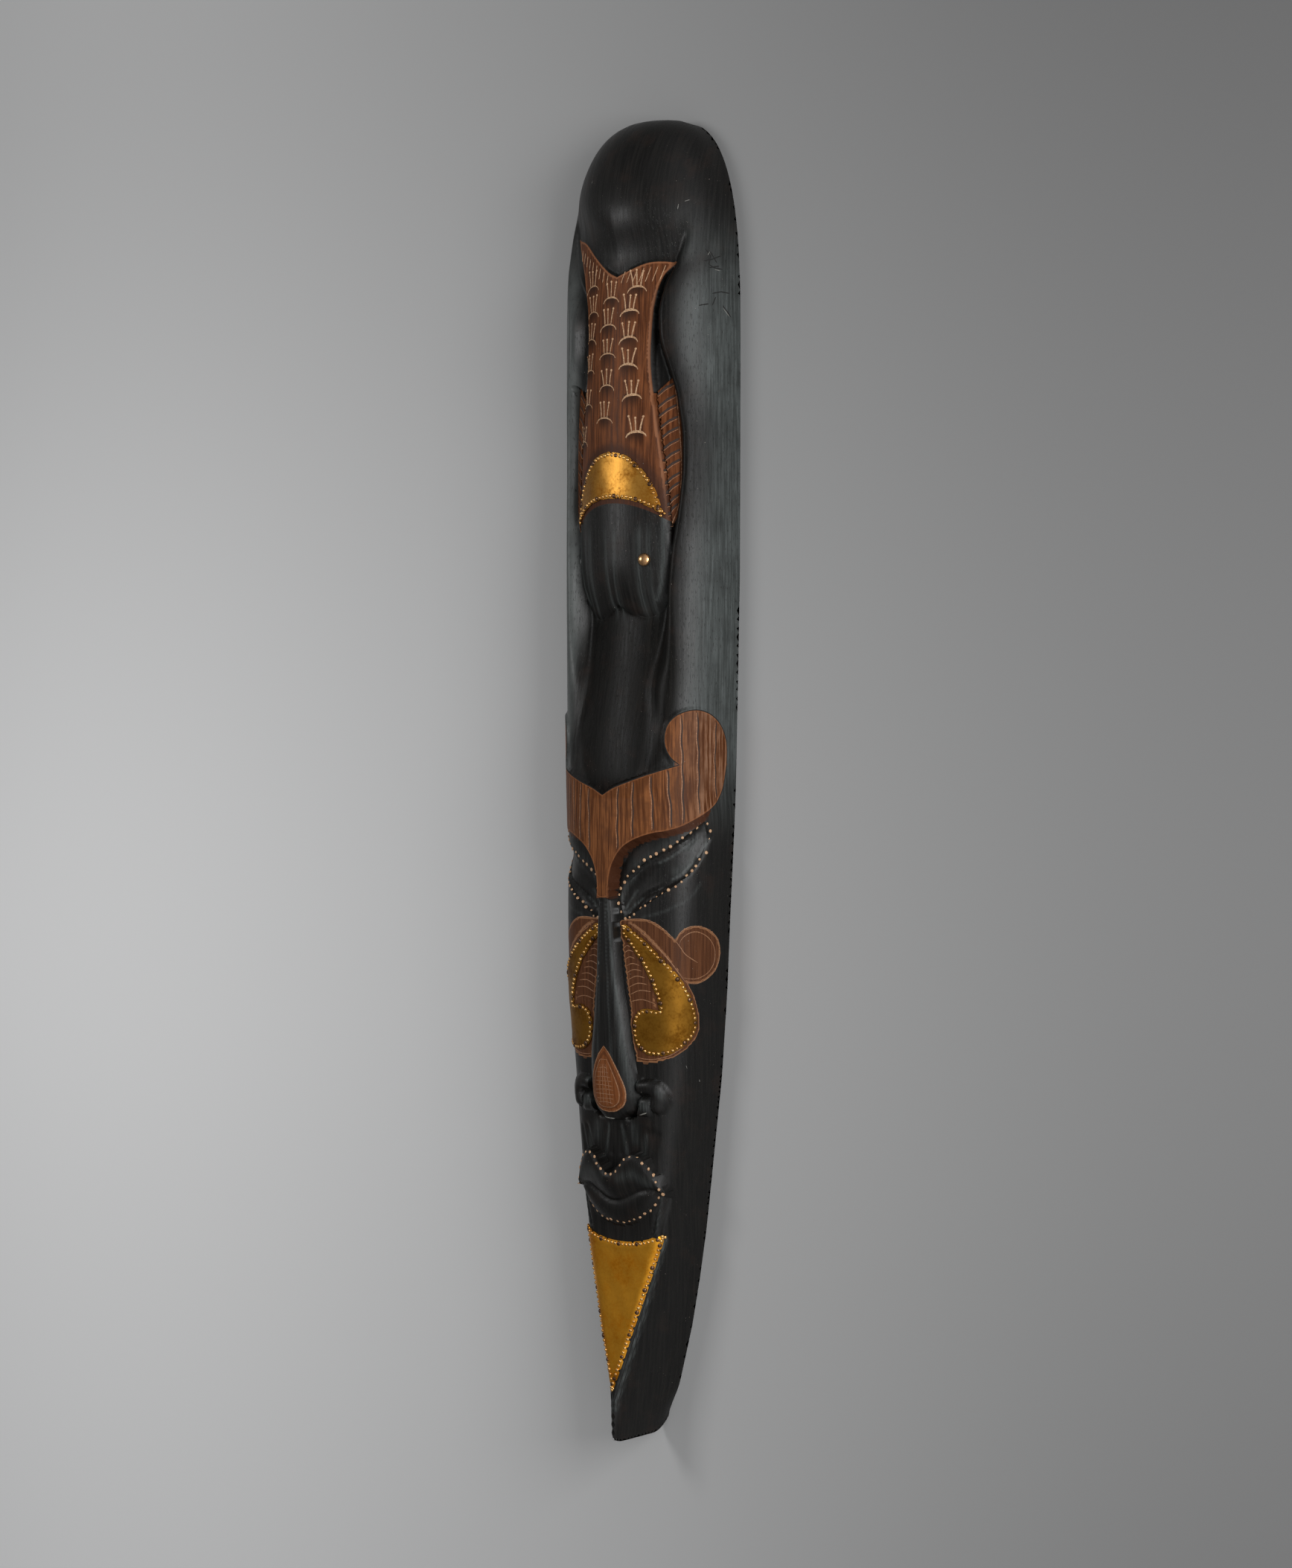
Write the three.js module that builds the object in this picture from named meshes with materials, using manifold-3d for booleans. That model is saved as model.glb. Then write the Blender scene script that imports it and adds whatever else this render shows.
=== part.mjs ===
// Carved wall mask of half-log section with a fish on the forehead, in millimetres.
// It lies on its flat back: +Z out of the face, +Y to the top of the head, +X to the viewer's right.
import * as THREE from "three";
import { mergeVertices } from "three/addons/utils/BufferGeometryUtils.js";
import Module from "manifold-3d";

const wasm = await Module();
wasm.setup();

// Driving sizes.
const TOP_Y = 500; // top of the dome
const DOME = 180; // length over which the top rounds off
const HALF_WIDTH = 75.2; // half the log's width at the forehead
const LOG_DEPTH = 70; // back plane to the forehead's crest
const RIM = 3; // upright edge round the flat back
const CROWN_DEPTH = 71.2; // back plane to the crown's crest
const CHANNEL_SLOPE = 2; // steepness of the channel's sides
const FISH_RADIUS = 60; // roundness of the fish's back
const SCOOP = 3.4; // depth of the leaf-shaped eyes
const GAP = 0.3; // air between a metal sheet and the wood
const SHEET = 0.8; // thickness of the metal sheets
const EYE_RADIUS = 4.8;
const EYE_HEIGHT = 3.2;
const EYE_AT = [28.5, 161]; // x and y of the fish's eye
const KEEL_ROUND = 10; // how far the keel's end draws in at the back
const KEEL_CORNER = 18; // height above the back over which it does so

// Stations of the outside, from the chin's tip up: y, half width, depth, squareness of the section,
// and how much the sides draw in towards the front.
const STATIONS = [
  [-TOP_Y, 4, 60, 4, 0.5],
  [-463, 15.8, 59.2, 5, 0.7],
  [-417, 28.3, 56.5, 6, 0.36],
  [-380, 35.8, 53, 7, 0.2],
  [-342, 42.3, 50.5, 7, 0.06],
  [-292, 48.8, 55, 4.5, 0.02],
  [-225, 57.4, 57.5, 3.6, 0],
  [-160, 62.6, 60.5, 3.7, 0],
  [-107, 65.2, 61, 3.5, 0],
  [-60, 68, 60.5, 3.1, 0],
  [-34, 69.5, 61, 2.8, 0],
  [-6, 70.8, 69.5, 2.3, 0],
  [150, 74.6, LOG_DEPTH, 2.15, 0],
  [TOP_Y - DOME, HALF_WIDTH, LOG_DEPTH, 2.1, 0],
];

const clamp = (v) => Math.min(1, Math.max(0, v));
const smooth = (from, to, v) => {
  const t = clamp((v - from) / (to - from));
  return t * t * (3 - 2 * t);
};
const mix = (a, b, t) => a + (b - a) * t;

// Value at y of a list of [y, value] with rising y, straight between them.
function along(list, y, column = 1) {
  if (y <= list[0][0]) return list[0][column];
  for (let i = 1; i < list.length; i++) {
    const [lo, hi] = [list[i - 1], list[i]];
    if (y <= hi[0])
      return mix(lo[column], hi[column], (y - lo[0]) / (hi[0] - lo[0]));
  }
  return list[list.length - 1][column];
}

// The section at y: half width, depth, squareness and draw, with the dome's rounding.
function section(y) {
  const t = clamp((y - (TOP_Y - DOME)) / DOME);
  const g = Math.max(0.1, Math.cbrt(1 - t ** 3));
  const [half, depth, square, draw] = [1, 2, 3, 4].map((k) =>
    along(STATIONS, y, k),
  );
  return { half: half * g, depth: RIM + (depth - RIM) * g, square, draw };
}

// A point [x, z] of a section grown by h, at t from -1 to 1 across it.
function sectionPoint(s, t, h = 0) {
  const angle = (Math.PI / 2) * t;
  const across = Math.abs(Math.sin(angle)) ** (2 / s.square);
  const up = Math.max(0, Math.cos(angle)) ** (2 / s.square);
  const x = Math.sign(t) * (s.half + h) * across * (1 - s.draw * up);
  return [x, RIM + (s.depth - RIM + h) * up];
}

// Height of the plain log over (x, y) on the forehead, where the sides don't draw in.
function logHeight(x, y) {
  const s = section(y);
  const t = clamp(Math.abs(x) / s.half);
  return RIM + (s.depth - RIM) * (1 - t ** s.square) ** (1 / s.square);
}

function toSolid(positions, index) {
  const geometry = new THREE.BufferGeometry();
  geometry.setAttribute(
    "position",
    new THREE.Float32BufferAttribute(positions, 3),
  );
  geometry.setIndex(index);
  return solidOf(geometry);
}

function solidOf(source) {
  const bare = new THREE.BufferGeometry();
  bare.setAttribute("position", source.getAttribute("position"));
  if (source.index) bare.setIndex(source.index);
  const merged = mergeVertices(bare, 1e-4);
  return new wasm.Manifold(
    new wasm.Mesh({
      numProp: 3,
      vertProperties: new Float32Array(merged.getAttribute("position").array),
      triVerts: new Uint32Array(merged.index.array),
    }),
  );
}

// The closed solid between a sheet of points and a flat floor. point(t, y) gives [x, z] with t
// from -1 to 1 across each row y.
function solidUnder(ys, steps, point, floor, lean = () => 0) {
  const positions = [];
  const index = [];
  const n = steps + 1;
  for (const y of ys)
    for (const low of [false, true])
      for (let i = 0; i < n; i++) {
        const [x, top] = point(-1 + (2 * i) / steps, y);
        const z = low ? floor : top;
        positions.push(x, y + lean(y, z), z);
      }
  const at = (row, low, i) => (2 * row + (low ? 1 : 0)) * n + i;
  const quad = (a, b, c, d) => index.push(a, b, c, a, c, d);
  const last = ys.length - 1;
  for (let r = 0; r < last; r++) {
    for (let i = 0; i < steps; i++) {
      quad(at(r, 0, i), at(r, 0, i + 1), at(r + 1, 0, i + 1), at(r + 1, 0, i));
      quad(at(r, 1, i), at(r + 1, 1, i), at(r + 1, 1, i + 1), at(r, 1, i + 1));
    }
    quad(at(r, 1, 0), at(r, 0, 0), at(r + 1, 0, 0), at(r + 1, 1, 0));
    quad(
      at(r, 1, steps),
      at(r + 1, 1, steps),
      at(r + 1, 0, steps),
      at(r, 0, steps),
    );
  }
  for (let i = 0; i < steps; i++) {
    quad(at(0, 1, i), at(0, 1, i + 1), at(0, 0, i + 1), at(0, 0, i));
    quad(
      at(last, 1, i),
      at(last, 0, i),
      at(last, 0, i + 1),
      at(last, 1, i + 1),
    );
  }
  return toSolid(positions, index);
}

// The solid under a height function over a rectangle, with its columns at the given xs.
function field(xs, ys, height, floor = -5) {
  const steps = xs.length - 1;
  const column = (t) => xs[Math.round(((t + 1) / 2) * steps)];
  return solidUnder(ys, steps, (t, y) => [column(t), height(column(t), y)], floor);
}

const span = (from, to, count) =>
  Array.from({ length: count + 1 }, (_, i) => mix(from, to, i / count));

// The log grown by h over part of its length.
const grown = (ys, steps, h) =>
  solidUnder(ys, steps, (t, y) => sectionPoint(section(y), t, h), -5);

// Outlines. spline() rounds a few points; mirrored() is the same outline on the other side.
const spline = (points, count) =>
  new THREE.SplineCurve(points.map((p) => new THREE.Vector2(...p)))
    .getPoints(count)
    .map((p) => [p.x, p.y]);
const mirrored = (points) => points.map(([x, y]) => [-x, y]).reverse();

function prism(outline, from = -10, to = 100) {
  const points = outline.map((p) => new THREE.Vector2(...p));
  if (THREE.ShapeUtils.isClockWise(points)) points.reverse();
  const geometry = new THREE.ExtrudeGeometry(new THREE.Shape(points), {
    depth: to - from,
    bevelEnabled: false,
  });
  geometry.translate(0, 0, from);
  return solidOf(geometry);
}

// Rows: close together where the section changes fast, and round the dome by its own angle.
const domeRows = span(0, 1, 9).map((k) => {
  const g = Math.cos((k * Math.PI) / 2) * 0.9 + 0.1 * (1 - k);
  return TOP_Y - DOME + DOME * Math.cbrt(1 - Math.max(0.12, g) ** 3);
});
const bodyRows = [
  -500, -490, -478, -463, -440, -417, -398, -380, -361, -342, -317, -292, -258,
  -225, -192, -160, -133, -107, -84, -60, -34, -20, -6, 40, 95, 150, 235,
  ...domeRows,
];
const BODY_STEPS = 26;
const keelLean = (y, z) =>
  KEEL_ROUND * smooth(-460, -500, y) * Math.max(0, 1 - z / KEEL_CORNER) ** 2;
let body = solidUnder(
  bodyRows,
  BODY_STEPS,
  (t, y) => sectionPoint(section(y), t),
  0,
  keelLean,
);

// The channel down the forehead. Its floor lies below the fish, climbs to the log at both ends, and
// its sides climb to the log at the half width in CHANNEL_HALF.
const FISH_CREST = [
  [110, 46],
  [122, 52.5],
  [130, 55.5],
  [140, 59.5],
  [155, 62.5],
  [180, 63.5],
  [260, 63.5],
  [330, 61],
  [375, 58.2],
  [415, 56],
];
const FLOOR_CREST = [
  [-16, 74],
  [0, 71.5],
  [30, 66],
  [60, 60],
  [90, 54],
  [120, 50],
  [150, 53],
  [180, 56],
  [260, 56],
  [330, 53.5],
  [375, 50.7],
  [415, 48.5],
];
const CHANNEL_HALF = [
  [-15, 22],
  [10, 38],
  [40, 46],
  [85, 50],
  [135, 50],
  [165, 52],
  [195, 56],
  [225, 58.5],
  [255, 58.5],
  [285, 55],
  [305, 50],
  [322, 45],
  [345, 44],
  [360, 47],
  [375, 53],
  [400, 60],
  [440, 60],
];
const fishHeight = (x, y) => {
  const radius = mix(FISH_RADIUS, 80, smooth(330, 390, y));
  return along(FISH_CREST, y) - x ** 2 / (2 * radius);
};
function floorHeight(x, y) {
  const log = logHeight(x, y);
  const radius = mix(68, 80, smooth(330, 390, y) + smooth(90, 20, y));
  const sunk = smooth(388, 352, y);
  const flat = along(FLOOR_CREST, y) - x ** 2 / (2 * radius);
  const bed = mix(fishHeight(x, y) - 0.6, flat, sunk);
  const slope = CHANNEL_SLOPE * mix(0.4, 1, smooth(60, 135, y));
  const side = log + slope * (Math.abs(x) - along(CHANNEL_HALF, y));
  const fadeFrom = 384 + 0.62 * Math.max(0, 3 - x);
  return mix(Math.max(bed, side), log + 2, smooth(fadeFrom, fadeFrom + 56, y));
}
const channelXs = [0, 9, 18, 26, 31, 36, 41, 45, 49, 53, 57, 61, 66];
const bothSides = (xs) => [...xs.slice(1).map((x) => -x).reverse(), ...xs];
const channel = prism([
  [-65, -15],
  [65, -15],
  [65, 466],
  [-65, 466],
]).subtract(field(bothSides(channelXs), span(-16, 468, 40), floorHeight));
body = body.subtract(channel);

// The fish, head down, with two fins.
const fishSide = spline(
  [
    [32.3, 348],
    [31, 328],
    [31, 308],
    [33, 288],
    [38, 250],
    [41.5, 220],
    [44, 190],
    [45, 168],
    [43.8, 150],
    [40.5, 135.5],
    [34, 124],
    [24, 119],
    [12, 122.5],
    [0, 129.5],
  ],
  30,
);
const tailRight = spline(
  [
    [3, 374],
    [12, 377],
    [28, 382],
    [40, 382.4],
    [49, 381],
  ],
  8,
).concat(
  spline(
    [
      [49, 381],
      [41, 373.5],
      [35.5, 362],
      [32.3, 348],
    ],
    6,
  ).slice(1, -1),
);
const tailLeft = spline(
  [
    [-32.3, 348],
    [-34.5, 366],
    [-39.5, 386],
    [-51, 412],
  ],
  6,
)
  .slice(1)
  .concat(
    spline(
      [
        [-51, 412],
        [-36, 405.5],
        [-20, 391],
        [-6, 379],
        [3, 374],
      ],
      8,
    ).slice(1, -1),
  );
const fishOutline = [
  ...tailRight,
  ...fishSide,
  ...mirrored(fishSide).slice(1),
  ...tailLeft,
];
const fishXs = bothSides([0, 7, 14, 21, 28, 34, 40, 46, 52]);
const fishYs = [
  116, 122, 126, 130, 135, 140, 147, 155, 168, 184, 200, 216, 232, 248, 265,
  285, 305, 325, 345, 362, 380, 398, 414,
];
const grownFish = (h) => field(fishXs, fishYs, (x, y) => fishHeight(x, y) + h);
body = body.add(prism(fishOutline, 25).intersect(grownFish(0)));

const finOutline = [
  ...spline(
    [
      [47.5, 298],
      [50.8, 270],
      [52.8, 235],
      [51.6, 203],
      [45, 182],
    ],
    12,
  ),
  [40, 196],
  [37, 240],
  [33, 283],
];
const finHeight = (x, y) => along(FISH_CREST, y) - 2.2 - x ** 2 / 132;
const finXs = [30, 36, 42, 48, 55];
for (const side of [1, -1]) {
  const xs = side > 0 ? finXs : finXs.map((x) => -x).reverse();
  const outline = side > 0 ? finOutline : mirrored(finOutline);
  body = body.add(
    prism(outline, 25).intersect(field(xs, span(178, 300, 8), finHeight)),
  );
}

// The crown over the brow with a stem down to the nose: it stands over the sunk face below it.
const crownHalf = [
  ...spline(
    [
      [0, -14],
      [10, -9.5],
      [30, -0.5],
      [56.5, 9],
    ],
    9,
  ),
  ...spline(
    [
      [56.5, 9],
      [48.5, 17],
      [45.3, 28],
      [47, 39.5],
      [54, 47.5],
      [62, 49.5],
      [67.5, 44],
      [69.8, 30],
    ],
    16,
  ).slice(1),
  [70.2, 10],
  [69.6, -8],
  ...spline(
    [
      [68.2, -20],
      [62, -35.5],
      [50, -39.5],
      [30, -45],
      [14, -54],
      [6.5, -69],
      [5.2, -80],
    ],
    14,
  ),
  [5.2, -90],
];
const crownOutline = [...crownHalf, ...mirrored(crownHalf).slice(0, -1)];
const crownPoint = (t, y) =>
  sectionPoint(
    { half: section(y).half + 0.5, depth: CROWN_DEPTH, square: 2.32, draw: 0 },
    t,
  );
body = body.add(
  prism(crownOutline, 6).intersect(
    solidUnder(span(-94, 54, 10), BODY_STEPS, crownPoint, 0),
  ),
);

// Leaf-shaped eyes, scooped out of the face under the crown.
const LEAF_TIP = [14, -107];
const LEAF_END = [66.5, -33];
const leafOutline = [
  ...spline(
    [
      LEAF_TIP,
      [8.6, -96],
      [9.3, -85],
      [16, -75.5],
      [33, -62.5],
      [50, -52.5],
      [60, -42.5],
      LEAF_END,
    ],
    16,
  ),
  ...spline(
    [
      LEAF_END,
      [66.9, -46],
      [63.5, -65.5],
      [57, -77.5],
      [43, -89],
      [27, -99.5],
      LEAF_TIP,
    ],
    14,
  ).slice(1, -1),
];
// How far a point lies from the leaf's long axis, as a share of the leaf's half breadth.
function leafAcross(x, y) {
  const [dx, dy] = [LEAF_END[0] - LEAF_TIP[0], LEAF_END[1] - LEAF_TIP[1]];
  const long = Math.hypot(dx, dy);
  const off = ((x - LEAF_TIP[0]) * dy - (y - LEAF_TIP[1]) * dx) / long;
  return clamp(Math.abs(off) / 15);
}
const leafPoint = (t, y) => {
  const s = section(y);
  const [x] = sectionPoint(s, t);
  const deep = SCOOP * (1 - 0.7 * leafAcross(Math.abs(x), y) ** 2);
  return sectionPoint(s, t, -deep);
};
const leafBed = solidUnder(span(-110, -30, 11), 36, leafPoint, -5);
for (const outline of [leafOutline, mirrored(leafOutline)])
  body = body.subtract(prism(outline, 5).subtract(leafBed));

// The nose, from the crown's stem to its rounded tip, and a scroll at each nostril.
const NOSE = [
  // y, crest height, half width
  [-257, 61, 12],
  [-250, 64.5, 21],
  [-240, 67, 23.4],
  [-225, 69, 22],
  [-200, 69.6, 18],
  [-175, 70, 14.5],
  [-150, 70.3, 10.5],
  [-120, 70.5, 8],
  [-84, 70.8, 5.2],
];
const noseHeight = (x, y) => {
  const t = Math.abs(x) / along(NOSE, y, 2);
  const drop = mix(1, 6, smooth(-110, -190, y)) + 7 * smooth(-200, -240, y);
  return along(NOSE, y) - drop * Math.min(t, 1.3) ** 3.4;
};
const noseSide = spline(
  [
    [5.2, -84],
    [8, -120],
    [10.5, -150],
    [14.5, -175],
    [18, -200],
    [22, -225],
    [23.4, -240],
    [20.5, -251],
    [11, -255.5],
    [0, -256.5],
  ],
  20,
);
const noseXs = bothSides([0, 4, 8, 12, 16, 20, 25]);
const noseYs = [-258, -254, -250, -245, -238, -230, -215, -200, -180, -150, -120, -83];
body = body.add(
  prism([...noseSide, ...mirrored(noseSide).slice(1)], 30).intersect(
    field(noseXs, noseYs, noseHeight),
  ),
);

const NOSTRIL = [33, -238.5];
const nostrilOutline = spline(
  [
    [20, -231],
    [28, -226],
    [36, -224.5],
    [42.5, -229],
    [44.6, -237],
    [43, -245],
    [38, -250.5],
    [29, -253],
    [18, -252],
  ],
  18,
);
// A ring round a hollow, with a small ball in it.
const nostrilHeight = (x, y) => {
  const from = Math.hypot(Math.abs(x) - NOSTRIL[0], y - NOSTRIL[1]);
  const hollow = 4.2 * smooth(8.5, 4.5, from);
  const ball = 3 * smooth(3.6, 0, from);
  const fall = 0.16 * Math.max(0, Math.abs(x) - 18) + 0.006 * x * x * smooth(36, 45, Math.abs(x));
  return 60 - fall - hollow + ball;
};
for (const side of [1, -1]) {
  const xs = side > 0 ? span(16, 46, 9) : span(-46, -16, 9);
  const outline = side > 0 ? nostrilOutline : mirrored(nostrilOutline);
  body = body.add(
    prism(outline, 30).intersect(field(xs, span(-254, -223, 9), nostrilHeight)),
  );
}

// The lips: edges as functions of x, and heights that round over between them.
const LIP_PEAK = 21.5;
const LIP_CORNER = 43;
const lipTop = (x) => {
  const a = Math.abs(x);
  if (a < LIP_PEAK)
    return -282.5 - 7.75 * (1 + Math.cos((Math.PI * a) / LIP_PEAK));
  return -282.5 - 28.5 * ((a - LIP_PEAK) / (LIP_CORNER - LIP_PEAK)) ** 2;
};
const mouthLine = (x) => {
  const a = Math.abs(x);
  return -318 + 8.5 * smooth(0, 26, a) - 1.5 * clamp((a - 26) / 17) ** 2;
};
const lipBottom = (x) =>
  -310.5 - 24.5 * Math.max(0, 1 - (x / 36.5) ** 2) ** 0.62;
const upperLipHeight = (x, y) => {
  const v = clamp((lipTop(x) - y) / Math.max(2, lipTop(x) - mouthLine(x)));
  const side = Math.min(1.1, Math.abs(x) / LIP_CORNER) ** 3;
  const edge = 65.2 - 15 * side;
  const mouth = 57.9 - 8.5 * side;
  return mix(edge, mouth, v ** 1.8) + 1.2 * Math.sin(Math.PI * v);
};
const lowerLipHeight = (x, y) => {
  const v = clamp((mouthLine(x) - y) / Math.max(2, mouthLine(x) - lipBottom(x)));
  const side = Math.min(1.1, Math.abs(x) / LIP_CORNER) ** 3;
  return 57.4 - 8 * side - 3.2 * v ** 2 + 1.6 * Math.sin(Math.PI * v);
};
const lipXs = bothSides([0, 4, 8, 12, 16, 20, 25, 30, 35, 39, 43, 46]);
const edgeXs = (half, count) => span(-half, half, count);
const upperLip = [
  ...edgeXs(LIP_CORNER, 24).map((x) => [x, lipTop(x)]),
  ...edgeXs(LIP_CORNER - 1, 14)
    .reverse()
    .map((x) => [x, mouthLine(x)]),
];
const lowerLip = [
  ...edgeXs(36.4, 14).map((x) => [x, mouthLine(x) + 0.4]),
  ...edgeXs(36.4, 18)
    .reverse()
    .map((x) => [x, lipBottom(x) - 0.2]),
];
body = body.add(
  prism(lowerLip, 30).intersect(field(lipXs, span(-337, -307, 8), lowerLipHeight)),
);
body = body.add(
  prism(upperLip, 30).intersect(field(lipXs, span(-320, -280, 10), upperLipHeight)),
);

// The hollow in the back: y, half width, depth.
const HOLLOW = [
  [-436, 3, 6],
  [-428, 9, 18],
  [-405, 15, 26],
  [-360, 24, 32],
  [-290, 34, 36],
  [-190, 45, 38],
  [-60, 53, 38],
  [20, 56, 36],
  [90, 56, 33],
  [340, 57, 33],
  [400, 51, 31],
  [435, 38, 25],
  [452, 22, 15],
  [458, 6, 6],
];
const hollowRows = HOLLOW.map((row) => row[0]);
const hollowPoint = (t, y) => {
  const s = { half: along(HOLLOW, y), depth: along(HOLLOW, y, 2), square: 2.6, draw: 0 };
  return sectionPoint(s, t);
};
body = body.subtract(solidUnder(hollowRows, 12, hollowPoint, -5));

// Metal sheets: the outline cut from the skin between two grown copies of the wood under it.
const bandHalf = spline(
  [
    [0, 243.5],
    [14, 240.3],
    [24, 233],
    [32.5, 222],
    [37.5, 211],
    [42.4, 192.5],
  ],
  14,
).concat(
  spline(
    [
      [42.4, 192.5],
      [31, 200],
      [17, 205.5],
      [0, 207.5],
    ],
    10,
  ).slice(1),
);
const band = prism([...bandHalf, ...mirrored(bandHalf).slice(1, -1)])
  .intersect(grownFish(GAP + SHEET))
  .subtract(grownFish(GAP));

const cheekOutline = [
  [10.8, -110],
  ...spline(
    [
      [15, -110],
      [30, -119.5],
      [43, -131],
      [53, -143.5],
      [58.3, -157],
      [59.6, -173],
      [58.2, -192],
      [52.5, -203.5],
      [42, -208],
      [29.5, -206.3],
      [22, -199],
      [19.6, -188],
      [22.5, -177],
      [31, -172.2],
      [42.4, -173],
    ],
    34,
  ),
  ...spline(
    [
      [42.4, -173],
      [39.5, -160],
      [32, -143.5],
      [21, -129],
      [10.6, -118.5],
    ],
    10,
  ).slice(1),
];
const cheekRows = bodyRows.filter((y) => y > -230 && y < -80);
const cheekSkin = grown(cheekRows, BODY_STEPS, GAP + SHEET).subtract(
  grown(cheekRows, BODY_STEPS, GAP),
);
const chinOutline = [
  ...spline(
    [
      [-38.3, -341.2],
      [-20, -347],
      [0, -349.2],
      [20, -347],
      [38.3, -341.2],
    ],
    12,
  ),
  [0.6, -462.5],
  [-0.6, -462.5],
];
const chinRows = bodyRows.filter((y) => y < -310);
const chinSkin = grown(chinRows, BODY_STEPS, GAP + SHEET).subtract(
  grown(chinRows, BODY_STEPS, GAP),
);

// A domed nail head lying on the fish, as the one eye it has.
function eye() {
  const rim = 0.5;
  const profile = [new THREE.Vector2(0, 0), new THREE.Vector2(EYE_RADIUS, 0)];
  for (const a of span(0, Math.PI / 2, 5))
    profile.push(
      new THREE.Vector2(
        a >= Math.PI / 2 ? 0 : EYE_RADIUS * Math.cos(a),
        rim + (EYE_HEIGHT - rim) * Math.sin(a),
      ),
    );
  const geometry = new THREE.LatheGeometry(profile, 18);
  const [x, y] = EYE_AT;
  const slope = x / FISH_RADIUS;
  geometry.rotateX(Math.PI / 2);
  geometry.rotateY(Math.atan(slope));
  const lift = (GAP + 0.15) / Math.hypot(1, slope);
  geometry.translate(x + lift * slope, y, fishHeight(x, y) + lift);
  return solidOf(geometry);
}

const wood = new THREE.MeshStandardMaterial({ color: 0x2e2a28, roughness: 0.6 });
const brass = new THREE.MeshStandardMaterial({
  color: 0xb58a2c,
  roughness: 0.35,
  metalness: 1,
});
const object = new THREE.Group();
function add(name, solid, material) {
  const made = solid.getMesh();
  const geometry = new THREE.BufferGeometry();
  geometry.setAttribute(
    "position",
    new THREE.Float32BufferAttribute(made.vertProperties, 3),
  );
  geometry.setIndex(Array.from(made.triVerts));
  geometry.computeVertexNormals();
  const mesh = new THREE.Mesh(geometry, material);
  mesh.name = name;
  object.add(mesh);
}
add("mask_body", body.simplify(0.12), wood);
add("fish_band", band.simplify(0.01), brass);
add("cheek_plate_right", prism(cheekOutline).intersect(cheekSkin), brass);
add("cheek_plate_left", prism(mirrored(cheekOutline)).intersect(cheekSkin), brass);
add("chin_plate", prism(chinOutline, 30).intersect(chinSkin), brass);
add("fish_eye_right", eye(), brass);

export default object;
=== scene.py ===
import math

import bpy
import numpy as np
from mathutils import Matrix, Vector, geometry


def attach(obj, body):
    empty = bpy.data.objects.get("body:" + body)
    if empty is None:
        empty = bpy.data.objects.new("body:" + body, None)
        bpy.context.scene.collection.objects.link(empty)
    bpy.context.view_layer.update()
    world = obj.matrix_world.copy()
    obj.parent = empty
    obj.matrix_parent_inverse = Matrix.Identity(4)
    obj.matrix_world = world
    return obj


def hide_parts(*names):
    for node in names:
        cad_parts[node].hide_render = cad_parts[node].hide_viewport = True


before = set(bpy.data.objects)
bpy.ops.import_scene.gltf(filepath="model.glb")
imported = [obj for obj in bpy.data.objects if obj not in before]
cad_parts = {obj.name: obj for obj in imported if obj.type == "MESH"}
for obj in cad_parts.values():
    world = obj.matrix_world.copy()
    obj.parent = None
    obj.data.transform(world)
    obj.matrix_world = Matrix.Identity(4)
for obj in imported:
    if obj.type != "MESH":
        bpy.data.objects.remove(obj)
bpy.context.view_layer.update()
rng = np.random.default_rng(11)
scene = bpy.context.scene


# Camera: it looks down on the lying mask, turned 41 degrees round the mask's long axis.
# Everything below is drawn in millimetres and set into meshes in metres.
turn = math.radians(41)
look = Vector((math.sin(turn), 0, math.cos(turn)))
lens = bpy.data.cameras.new("camera")
lens.sensor_fit = "VERTICAL"
lens.sensor_height = 36
lens.lens = 36 / (2 * math.tan(math.radians(34.7) / 2))
camera = bpy.data.objects.new("camera", lens)
camera.location = Vector((0.0075, -0.0058, 0.030)) + look * 1.9
side_axis = Vector((math.cos(turn), 0, -math.sin(turn)))
camera.matrix_world = Matrix.LocRotScale(
    camera.location, Matrix((side_axis, (0, 1, 0), look)).transposed(), None)
scene.collection.objects.link(camera)
scene.camera = camera


# The log: the mask is one length of wood split along its middle and rounded over at the top end. Its
# section is set at stations, the same as in the part's source: y, half width, depth, squareness, and
# how much the sides draw in towards the front.
def smooth(low, high, v):
    t = np.clip((v - low) / (high - low), 0, 1)
    return t * t * (3 - 2 * t)


def along(rows, y, k=1):
    rows = np.asarray(rows, float)
    return np.interp(y, rows[:, 0], rows[:, k])


STATIONS = np.array([
    [-500, 4, 60, 4, 0.5],
    [-463, 15.8, 59.2, 5, 0.7],
    [-417, 28.3, 56.5, 6, 0.36],
    [-380, 35.8, 53, 7, 0.2],
    [-342, 42.3, 50.5, 7, 0.06],
    [-292, 48.8, 55, 4.5, 0.02],
    [-225, 57.4, 57.5, 3.6, 0],
    [-160, 62.6, 60.5, 3.7, 0],
    [-107, 65.2, 61, 3.5, 0],
    [-60, 68, 60.5, 3.1, 0],
    [-34, 69.5, 61, 2.8, 0],
    [-6, 70.8, 69.5, 2.3, 0],
    [150, 74.6, 70, 2.15, 0],
    [320, 75.2, 70, 2.1, 0],
])
RIM = 3.0  # upright edge round the flat back
CROWN_DEPTH = 71.2  # back plane to the crown's crest
DOME = 180  # length over which the top rounds off
TOP = 500  # from the middle to either end
ROW = 2.0  # spacing of the rows in the tables of sections
ACROSS = 260  # places in each row, from the crest to the bottom of the rim
rows_y = np.arange(-TOP, TOP + ROW / 2, ROW)
window = np.hanning(13)
window /= window.sum()
soft = [np.convolve(np.pad(along(STATIONS, rows_y, k), 6, "edge"), window, "valid") for k in (1, 2, 3, 4)]
dome = np.maximum(0.1, np.cbrt(1 - np.clip((rows_y - (TOP - DOME)) / DOME, 0, 1) ** 3))


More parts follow.
